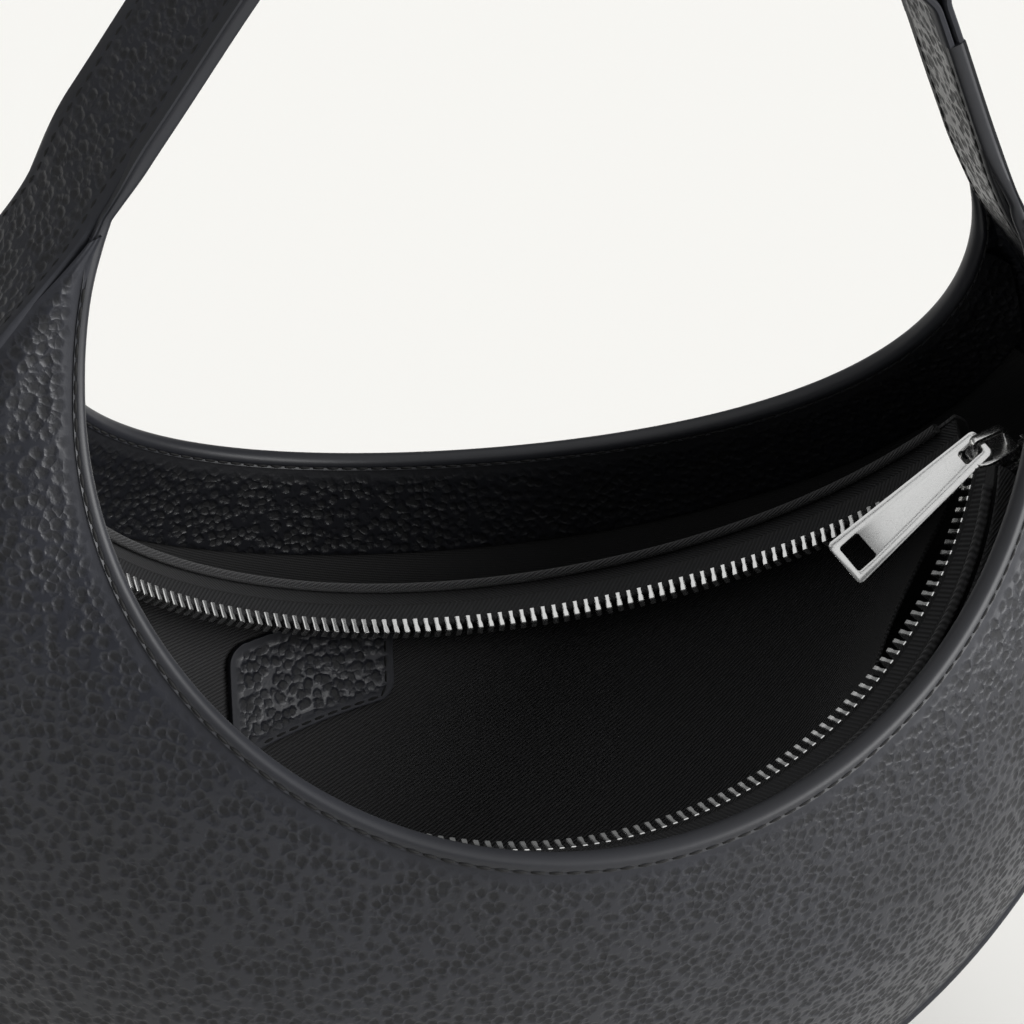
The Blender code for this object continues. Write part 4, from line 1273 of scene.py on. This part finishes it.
def meeting(rings, other):
    # rings whose first is moved halfway to another ring, and the next ones less and less
    run = runAlong(rings.mean(axis=1))
    share = 1 - eased(run / band["forkReach"])
    return rings + (other - rings[0]) / 2 * share[:, None, None]


def addEdgeBand(side):
    shape = panels[side]
    rim = []
    for i, span in enumerate(shape["spans"]):
        height = min(bag["bindingHeight"], span * band["forkShare"] + band["forkHigh"])
        grown = float(np.clip((span - sheets["facingStop"]) / sheets["facingStop"], 0, 1))
        deep = bag["panelLeather"] + grown * (bag["seatGap"] + bag["innerLeather"])
        profile = np.array(bandProfile(height, deep, band["proud"]))
        rim.append(panelPlaces(shape, [i], profile[None, :, 0], profile[None, :, 1])[0])
    rim = onSide(side, np.array(rim))
    forkRun, leg = runAtHeight(bag["forkHeight"]), loop["foldLeg"]
    runs = np.linspace(forkRun, barRun - leg, band["shortStations"])
    right = np.array([strapEdgeRing(run, side) for run in runs])
    runs = np.linspace(highBarRun + leg, 2 * outlineLength - forkRun, band["longStations"])
    left = np.array([strapEdgeRing(run, side) for run in runs])
    # the rim's band and the strap's meet halfway at each fork
    middle = meeting(meeting(rim, left[-1])[::-1], right[0])[::-1]
    before, after = meeting(left[::-1], rim[0])[::-1], meeting(right, rim[-1])
    piece = sweptPiece(side + "EdgeBand", np.concatenate([before[:-1], middle, after[1:]]))
    dressed(piece, smoothLeather, strapBend, [side + "_rim_binding"])


for sideName in bag["rims"]:
    addEdgeBand(sideName)
print("stage: edge bands")


# Base, gusset lining and end tabs

inside = {
    "hemRise": 0.002,
    "clothDepth": 0.0043,
    "clothMargin": 0.002,
    "cloth": 0.0008,
    "stations": 150,
    "across": 24,
    "flat": (0.084, 0.440),
    "area": 0.0240,
    "tabEdge": 0.0005,
}


def addGussetLining():
    hem = runAtHeight(loop["sideFacingLow"] + inside["hemRise"])
    rows = []
    for run in np.linspace(-hem, hem, inside["stations"]):
        x, z = onLoop(run, inside["clothDepth"] + inside["cloth"])
        half = gussetHalf(z) - inside["clothMargin"]
        rows.append([(x, y, z) for y in np.linspace(-half, half, inside["across"])])
    piece = sheetPiece("gussetLining", np.array(rows)[:, ::-1], inside["cloth"], inside["cloth"] / 3)
    dressed(piece, liningCloth, "bag", ["gusset_lining"])


def addEndTabs():
    for side in ("left", "right"):
        low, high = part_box(side + "_end_tab")
        piece = blockPiece(side + "EndTab", low, high, inside["tabEdge"], 3)
        dressed(piece, innerLeather, "bag", [side + "_end_tab"])


addGussetLining()
addEndTabs()
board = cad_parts["base_board"]
board.data.materials.clear()
board.data.materials.append(greyBoard)
print("stage: base, lining and tabs")


# Zip: teeth, tapes, stops and pipings on the two halves

zipper = {
    "halfChord": 0.102,
    "sag": 0.0735,
    "height": 0.1535,
    "open": 34,
    "lay": {"front": 28, "back": 12},
    "stagger": {"front": 0.25, "back": 0.75},
    "pitch": 0.0025,
    "toothThick": 0.00125,
    "toothHigh": 0.0027,
    "toothTip": 0.0002,
    "toothRoot": 0.0040,
    "toothCuts": (0.32, 0.55),
    "toothWaist": 0.78,
    "toothWaistHigh": 0.86,
    "toothTipHigh": 0.90,
    "toothEdge": 0.00018,
    "tapeNear": 0.0026,
    "tapeWidth": 0.0097,
    "tapeThick": 0.0008,
    "tapeEdge": 0.0001,
    "tapeFlat": (0.0125, 0.270),
    "beadRadius": 0.00085,
    "beadTurn": 2.2,
    "beadReach": 2.2,
    "stopLength": 0.0032,
    "stopNear": 0.0006,
    "stopFar": 0.0038,
    "stopHigh": 0.0013,
    "stopEdge": 0.0004,
    "pipingRadius": 0.0011,
    "pipingReach": 0.96,
    "pipingSides": 14,
    "stations": 160,
}
zipRadius = (zipper["halfChord"] ** 2 + zipper["sag"] ** 2) / (2 * zipper["sag"])
zipEnd = 2 * math.atan2(zipper["sag"], zipper["halfChord"])


def zipPlace(side, angle, across, lift):
    # between its two ends each tape lies flatter than the plane of its own arc
    lay = math.radians(zipper["lay"][side]) * (1 - min(abs(angle) / zipEnd, 1) ** 4)
    flatter = across * math.cos(lay) + lift * math.sin(lay)
    lift, across = lift * math.cos(lay) - across * math.sin(lay), flatter
    radius = zipRadius - lift
    x = radius * math.sin(angle)
    z = -(radius * math.cos(angle) - zipRadius * math.cos(zipEnd))
    cos, sin = math.cos(math.radians(zipper["open"])), -math.sin(math.radians(zipper["open"]))
    y = -across * cos - z * sin
    sign = 1 if side == "front" else -1
    return np.array([x, sign * y, zipper["height"] - across * sin + z * cos])


def zipFrame(side, angle):
    # X runs outwards across the tape, Z over the row
    start = zipPlace(side, angle, 0, 0)
    return frameOf(start, zipPlace(side, angle, 0.01, 0) - start, zipPlace(side, angle, 0, 0.01) - start)


def toothPattern():
    # one tooth: two jaws on the bead, a waist and a rounded head
    tip, root = zipper["toothTip"], zipper["toothRoot"]
    thick, high = zipper["toothThick"] / 2, zipper["toothHigh"] / 2
    piece = blockPiece("tooth", (tip, -thick, -high), (root, thick, high), 0)
    head, waist = (tip + (root - tip) * share for share in zipper["toothCuts"])
    steps = []
    for cut in (head, waist):
        steps.append(lambda: bpy.ops.mesh.select_all(action="SELECT"))
        steps.append(lambda cut=cut: bpy.ops.mesh.bisect(plane_co=(cut, 0, 0), plane_no=(1, 0, 0)))
    inEditMode(piece, steps)
    for vertex in piece.data.vertices:
        if abs(vertex.co.x - waist) < 1e-6:
            vertex.co.y *= zipper["toothWaist"]
            vertex.co.z *= zipper["toothWaistHigh"]
        if vertex.co.x < head + 1e-6:
            vertex.co.z *= zipper["toothTipHigh"]
    return rounded(piece, zipper["toothEdge"], 1, 30)


def addTeeth(side):
    stop, gap = zipper["stopLength"] / zipRadius, bag["seatGap"] / zipRadius
    start, end = -zipEnd + stop + gap, zipEnd - 2 * gap
    count = int((end - start) * zipRadius / zipper["pitch"])
    step = (end - start) / count
    places = [zipFrame(side, start + step * (i + zipper["stagger"][side])) for i in range(count)]
    piece = repeated(side + "ZipTeeth", toothPattern(), places)
    dressed(piece, silverMetal, side + "_zip_half", [side + "_zip_teeth"])


def addTape(side):
    near, far, thick = zipper["tapeNear"], zipper["tapeNear"] + zipper["tapeWidth"], zipper["tapeThick"] / 2
    bead, turns = zipper["beadRadius"], np.linspace(-zipper["beadTurn"], zipper["beadTurn"], 9)
    flat = np.linspace(near + zipper["beadReach"] * bead, far - zipper["tapeEdge"], 8)
    profile = [(near + bead - bead * math.cos(turn), bead * math.sin(turn)) for turn in turns]
    profile += [(x, thick) for x in flat] + [(far, thick / 2), (far, -thick / 2)]
    profile += [(x, -thick) for x in flat[::-1]]
    angles = np.linspace(-zipEnd, zipEnd - 2 * bag["seatGap"] / zipRadius, zipper["stations"])
    rings = np.array([[zipPlace(side, angle, x, lift) for x, lift in profile] for angle in angles])
    piece = sweptPiece(side + "ZipTape", rings)
    dressed(piece, tapeCloth, side + "_zip_half", [side + "_zip_tape"])


def addTopStop(side):
    span, high = zipper["stopLength"], zipper["stopHigh"]
    corners = (zipper["stopNear"], -span / 2, -high), (zipper["stopFar"], span / 2, high)
    piece = blockPiece(side + "TopStop", *corners, zipper["stopEdge"], 3)
    placed(piece, zipFrame(side, -zipEnd + span / 2 / zipRadius))
    dressed(piece, silverMetal, side + "_zip_half", [side + "_top_stop"])


def addPiping(side):
    radius = zipper["pipingRadius"]
    far = zipper["tapeNear"] + zipper["tapeWidth"]
    lift = zipper["tapeThick"] / 2 + bag["seatGap"] + radius
    turns = np.linspace(0, 2 * math.pi, zipper["pipingSides"] + 1)[:-1]
    spots = [(far + radius * math.cos(turn), lift + radius * math.sin(turn)) for turn in turns]
    angles = np.linspace(-zipEnd, zipEnd, zipper["stations"]) * zipper["pipingReach"]
    rings = np.array([[zipPlace(side, angle, x, rise) for x, rise in spots] for angle in angles])
    piece = sweptPiece(side + "PouchPiping", rings)
    dressed(piece, twillCloth, side + "_zip_half", ["pouch_" + side + "_piping"])


for sideName in bag["rims"]:
    addTeeth(sideName)
    addTape(sideName)
    addTopStop(sideName)
    addPiping(sideName)
print("stage: zip halves")


# Pouch walls and the leather patch

pouch = {
    "bottomHeight": 0.020,
    "bottomHalf": 0.090,
    "belly": 0.014,
    "fall": 0.020,
    "endShare": 0.45,
    "cloth": 0.0009,
    "columns": 130,
    "rows": 48,
    "flat": (0.220, 0.150),
    "area": 0.0200,
    "patchLeft": -0.049,
    "patchRight": -0.008,
    "patchTop": 0.0895,
    "patchBottom": 0.0675,
    "patchSlope": 0.14,
    "patchCorner": 0.0035,
    "patchThick": 0.0014,
    "patchLift": 0.0006,
    "patchEdge": 0.0005,
    "patchColumns": 41,
    "patchRows": 27,
    "patchEven": 0.35,
    "patchSmoothFrom": 0.0012,
    "patchSmoothOver": 0.0016,
    "patchSeam": 2,
}


def pouchGrid(side, columns, rows):
    # one wall: columns from end to end, rows from the tape's outer edge to the bottom seam
    sign = 1 if side == "front" else -1
    across = zipper["tapeNear"] + zipper["tapeWidth"] + 2 * bag["seatGap"]
    drop = zipper["height"] - pouch["bottomHeight"]
    v = np.linspace(0, 1, rows)[:, None]
    w = 1 - v
    grid = []
    for angle in np.linspace(-zipEnd, zipEnd - 2 * bag["seatGap"] / zipRadius, columns):
        turn = angle / zipEnd * math.pi / 2
        top = zipPlace(side, angle, across, 0)
        falling = zipPlace(side, angle, across, -pouch["fall"])
        share = pouch["endShare"] + (1 - pouch["endShare"]) * math.cos(turn)
        middle = -sign * bag["seatGap"] / 2
        low = np.array([pouch["bottomHalf"] * math.sin(turn), middle, zipper["height"] - drop * share])
        rising = low + np.array([0, -sign * pouch["belly"], pouch["belly"]])
        grid.append(top * w**3 + falling * 3 * w * w * v + rising * 3 * w * v * v + low * v**3)
    return np.array(grid)


def addPouchWalls():
    for side in bag["rims"]:
        # faces look into the pouch, and the thickness goes outwards
        places = pouchGrid(side, pouch["columns"], pouch["rows"])
        places = places[::-1] if side == "front" else places
        piece = sheetPiece("pouch" + side.title() + "Wall", places, pouch["cloth"], pouch["cloth"] / 3)
        dressed(piece, twillCloth, pouchBends[side], ["pouch_" + side + "_wall"])


def patchSeam(grid):
    # the stitched row along the patch's lower edge and up its right edge
    inset = pouch["patchSeam"]
    return np.concatenate([grid[inset:-inset, -1 - inset], grid[-1 - inset, inset : -inset - 1][::-1]])


def addPatch():
    # rows on the back wall that rise a little, the first and last shorter, which rounds the corners
    rows = pouchGrid("back", 100, 60).transpose(1, 0, 2)
    left, right, corner = pouch["patchLeft"], pouch["patchRight"], pouch["patchCorner"]
    wide, high = right - left, pouch["patchTop"] - pouch["patchBottom"]
    spots = np.linspace(left, right, pouch["patchColumns"])
    lines = [[[np.interp(x, row[:, 0], row[:, k]) for k in (1, 2)] for row in rows] for x in spots]
    lines = np.array(lines)
    share, even = np.linspace(0, 1, pouch["patchRows"]), pouch["patchEven"]
    level = high * (even * share + (1 - even) * eased(share))
    places = np.empty((len(spots), len(level), 3))
    for j, down in enumerate(level):
        z = pouch["patchTop"] - down + pouch["patchSlope"] * (spots - left)
        deep = [np.interp(-height, -line[:, 1], line[:, 0]) for height, line in zip(z, lines)]
        short = corner - min(down, high - down, corner)
        drawn = corner - math.sqrt(corner**2 - short**2)
        places[:, j, 0] = left + drawn + (wide - 2 * drawn) * (spots - left) / wide
        places[:, j, 1] = np.interp(places[:, j, 0], spots, deep)
        places[:, j, 2] = np.interp(places[:, j, 0], spots, z)
    inward = forwardNormals(places)
    places = places + inward * (pouch["patchLift"] + pouch["patchThick"])
    u, v = np.meshgrid(spots - left, level, indexing="ij")
    fromEdge = np.minimum.reduce([u, wide - u, v, high - v])
    marks = 1 - eased((fromEdge - pouch["patchSmoothFrom"]) / pouch["patchSmoothOver"])
    piece = sheetPiece("pouchPatch", places, pouch["patchThick"], pouch["patchEdge"], marks)
    dressed(piece, outerLeather, pouchBends["back"], ["pouch_leather_patch"])
    stitchRow("patchStitches", patchSeam(places), patchSeam(inward), pouchBends["back"])


addPouchWalls()
addPatch()
print("stage: pouch")


# Slider, bridge, puller, closed chain and stop, in the slider's own frame

slide = {
    "middle": (0.10703, 0.0, 0.15585),
    "tilt": 25,
    "length": 0.0105,
    "width": 0.0094,
    "rearWidth": 0.0074,
    "plate": 0.0010,
    "frontInsets": ((0, 0.0022), (0.0008, 0.0008), (0.0022, 0)),
    "rearInsets": ((0.0014, -0.0002), (0.0004, 0.0004), (0, 0.0014)),
    "cavity": 0.0032,
    "postStart": 0.0004,
    "postLength": 0.0022,
    "postWidth": 0.0016,
    "postSunk": 0.0004,
    "postEdge": 0.0003,
    "lip": 0.0009,
    "lipFront": 0.003,
    "lipRear": 0.002,
    "lipSunk": 0.0003,
    "lipEdge": 0.00012,
    "edge": 0.00028,
    "bridgeLength": 0.0084,
    "bridgeWidth": 0.0024,
    "bridgeThick": 0.0010,
    "bridgeClear": 0.0034,
    "bridgeSunk": 0.0002,
    "bridgeCorner": 0.0016,
    "bridgeEdge": 0.0002,
    "chainLength": 0.0135,
    "chainStart": -0.00205,
    "chainAside": 0.0012,
    "chainTooth": (0.85, 0.80, 0.84),
    "stopCorner": (0.0022, 0.0010),
    "stopEdge": 0.0004,
}


def sliderFrame():
    tilt = math.radians(slide["tilt"])
    cos, sin = math.cos(tilt), math.sin(tilt)
    return frameOf(slide["middle"], (cos, 0, sin), (-sin, 0, cos))


def sliderOutline():
    half, wide, narrow = slide["length"] / 2, slide["width"] / 2, slide["rearWidth"] / 2
    side = [(-half + ahead, wide - aside) for ahead, aside in slide["frontInsets"]] + [(0, wide)]
    side += [(half - behind, narrow - aside) for behind, aside in slide["rearInsets"]]
    return side + [(ahead, -across) for ahead, across in side[::-1]]


def addSlider():
    cavity, plate, lip, sunk = slide["cavity"] / 2, slide["plate"], slide["lip"], slide["lipSunk"]
    half, wide, narrow = slide["length"] / 2, slide["width"] / 2, slide["rearWidth"] / 2
    front, rear = slide["lipFront"] - half, half - slide["lipRear"]
    parts = []
    for sign in (1, -1):
        part = outlinePiece("sliderPlate", sliderOutline(), plate, slide["edge"], 3)
        parts.append(placed(part, Matrix.Translation((0, 0, sign * (cavity + plate / 2)))))
        for across in (1, -1):
            side = [(front, wide), (0, wide), (rear, narrow)]
            side += [(ahead, aside - lip) for ahead, aside in side[::-1]]
            side = [(ahead, across * aside) for ahead, aside in side][::across]
            part = outlinePiece("sliderLip", side, lip + sunk, slide["lipEdge"], 1)
            parts.append(placed(part, Matrix.Translation((0, 0, sign * (cavity - (lip - sunk) / 2)))))
    start, aside, deep = slide["postStart"] - half, slide["postWidth"] / 2, cavity + slide["postSunk"]
    low, high = (start, -aside, -deep), (start + slide["postLength"], aside, deep)
    post = blockPiece("sliderPost", low, high, slide["postEdge"])
    body = joined("sliderBody", parts + [post])
    placed(body, sliderFrame())
    dressed(body, silverMetal, "zip_slider", ["slider_body"])


def addBridge():
    # a flat bar bent up and over, with its two feet on the upper plate
    reach, thick, corner = slide["bridgeLength"] / 2, slide["bridgeThick"], slide["bridgeCorner"]
    face = slide["cavity"] / 2 + slide["plate"]
    foot, top = face - slide["bridgeSunk"], face + slide["bridgeClear"] + thick
    shrink = corner - thick
    outer, inner = [(reach, foot)], [(reach - thick, foot)]
    for angle in np.linspace(0, math.pi / 2, 6):
        cos, sin = math.cos(angle), math.sin(angle)
        outer.append((reach - corner + corner * cos, top - corner + corner * sin))
        inner.append((reach - corner + shrink * cos, top - corner + shrink * sin))
    arch = outer + [(-a, b) for a, b in outer[::-1]] + [(-a, b) for a, b in inner] + inner[::-1]
    piece = outlinePiece("sliderBridge", arch, slide["bridgeWidth"], slide["bridgeEdge"], 2)
    upright = Matrix(((1, 0, 0, 0), (0, 0, -1, 0), (0, 1, 0, 0), (0, 0, 0, 1)))
    placed(piece, sliderFrame() @ upright)
    dressed(piece, silverMetal, "zip_slider", ["slider_bridge"])


tab = {
    "pivot": (0.10333, 0.0, 0.15953),
    "drop": 47,
    "roll": -31.7,
    "length": 0.040,
    "narrow": 0.0072,
    "wide": 0.0120,
    "thick": 0.0014,
    "corner": 0.0012,
    "window": (0.0007, 0.0047, 0.0034),
    "hole": (0.0330, 0.0052, 0.0070),
    "edge": 0.00026,
    "cutEdge": 0.0005,
}


def addPuller():
    bar, tip, thick = tab["thick"] / 2, tab["length"], tab["thick"]
    narrow, wide = tab["narrow"] / 2, tab["wide"] / 2
    corner, cut = tab["corner"], tab["corner"] * 0.3
    side = [(-bar, narrow - corner), (-bar + cut, narrow - cut), (-bar + corner, narrow)]
    side += [(tip - corner, wide), (tip - cut, wide - cut), (tip, wide - corner)]
    shape = side + [(down, -across) for down, across in side[::-1]]
    piece = outlinePiece("zipPuller", shape, thick, 0)
    for name in ("window", "hole"):
        start, length, width = tab[name]
        low, high = (start, -width / 2, -thick), (start + length, width / 2, thick)
        cutAway(piece, blockPiece("cutter", low, high, tab["cutEdge"], 2))
    rounded(piece, tab["edge"], 2, 40)
    drop = math.radians(tab["drop"])
    cos, sin = math.cos(drop), math.sin(drop)
    place = frameOf(tab["pivot"], (-cos, 0, -sin), (-sin, 0, cos))
    placed(piece, place @ Matrix.Rotation(math.radians(tab["roll"]), 4, "X"))
    dressed(piece, silverMetal, "puller", ["zip_puller"])


def addChainEnd():
    # teeth of both rows locked together, one by one from each side
    count = int(slide["chainLength"] / (zipper["pitch"] / 2))
    places = []
    for i in range(count):
        ahead = slide["chainStart"] + (i + 0.5) * slide["chainLength"] / count
        side = 1 if i % 2 else -1
        turn = Matrix.Rotation(0 if side > 0 else math.pi, 4, "Z")
        local = Matrix.Translation((ahead, -side * slide["chainAside"], 0)) @ turn
        places.append(sliderFrame() @ local @ Matrix.Rotation(math.pi / 2, 4, "Z"))
    pattern = toothPattern()
    for vertex in pattern.data.vertices:
        vertex.co = [value * share for value, share in zip(vertex.co, slide["chainTooth"])]
    piece = repeated("closedChain", pattern, places)
    dressed(piece, silverMetal, "bag", ["closed_chain_end"])
    start = slide["chainStart"] + slide["chainLength"] + bag["seatGap"]
    wide, high = slide["stopCorner"]
    corners = (start, -wide, -high), (start + zipper["stopLength"], wide, high)
    stop = blockPiece("zipBottomStop", *corners, slide["stopEdge"], 3)
    placed(stop, sliderFrame())
    dressed(stop, silverMetal, "bag", ["zip_bottom_stop"])


addSlider()
addBridge()
addPuller()
addChainEnd()
print("stage: slider and puller")


# The ring between the two strap pieces


def addRing():
    low, high = onLoop(barRun, layersDeep / 2), onLoop(highBarRun, layersDeep / 2)
    ahead = unit(high - low)
    out = np.array([ahead[1], -ahead[0]])
    pitch = np.linalg.norm(high - low)
    half = bag["strapWidth"] / 2 + loop["ringSideGap"] + loop["ringWire"] / 2
    corner = loop["ringCorner"]
    path = []
    corners = ((half, 0, -90), (half, pitch, 0), (-half, pitch, 90), (-half, 0, 180))
    for across, along, first in corners:
        centre = (across - math.copysign(corner, across), along + (corner if along == 0 else -corner))
        for angle in np.radians(np.linspace(first, first + 90, 9)):
            path.append((centre[0] + corner * math.cos(angle), centre[1] + corner * math.sin(angle)))
    path = np.array(path)
    radius = loop["ringWire"] / 2
    rings = []
    for i in range(len(path)):
        step = unit(path[(i + 1) % len(path)] - path[i - 1])
        side = np.array([step[1], -step[0]])
        ring = []
        for turn in np.linspace(0, 2 * math.pi, 19)[:-1]:
            flat = path[i] + side * radius * math.cos(turn)
            place = low + ahead * flat[1] + out * radius * math.sin(turn)
            ring.append((place[0], flat[0], place[1]))
        rings.append(ring)
    piece = sweptPiece("strapRing", np.array(rings), closed=True)
    dressed(piece, silverMetal, "ring", ["strap_ring"])


addRing()
print("stage: ring")


# Stitching along the rims, the strap and the gusset


def addRimStitches(side):
    shape = panels[side]
    columns = longerThan(side, band["stitchSpan"])
    downs = np.full((len(columns), 1), band["stitchDown"])
    deep = bag["panelLeather"] + bag["seatGap"] + bag["innerLeather"]
    proud = band["proud"] - band["stitchSink"]
    normals = onSide(side, panelNormals(shape, columns, downs))[:, 0]
    for label, depth, sign in (("Outer", -proud, 1), ("Inner", deep + proud, -1)):
        path = onSide(side, panelPlaces(shape, columns, downs, np.full_like(downs, depth)))[:, 0]
        stitchRow(side + "Rim" + label + "Stitches", path, normals * sign, strapBend)


def addLoopStitches(side):
    sign, sunk = -1 if side == "front" else 1, loop["stitchGroove"] * 0.6
    path, normals = [], []
    start, stop = barRun - loop["foldTaper"], highBarRun + loop["foldTaper"] - 2 * outlineLength
    for run in np.linspace(start, stop, 700):
        x, z = onLoop(run, sunk)
        path.append((x, sign * (bandHalf(z) - loop["stitchInset"]), z))
        normal = loopNormal(run)
        normals.append((normal[0], 0, normal[1]))
    stitchRow(side + "LoopStitches", path, normals, strapBend)
    low = runAtHeight(loop["sideFacingLow"])
    spans = {
        "Long": (2 * outlineLength - low, highBarRun + loop["foldLeg"]),
        "Short": (low, barRun - loop["foldLeg"]),
    }
    for label, (first, last) in spans.items():
        path, normals = [], []
        for run in np.linspace(first, last, 300):
            height = onLoop(run, layersDeep - sunk)[1]
            x, z = onLoop(run, layersDeep + outerThickness(height) - bag["strapLeather"] - sunk)
            path.append((x, sign * (liningHalf(z) - loop["stitchInset"]), z))
            normal = loopNormal(run)
            normals.append((-normal[0], 0, -normal[1]))
        stitchRow(side + label + "LiningStitches", path, normals, strapBend)


for sideName in bag["rims"]:
    addRimStitches(sideName)
    addLoopStitches(sideName)
print("stage: stitching")


print("stage: done")
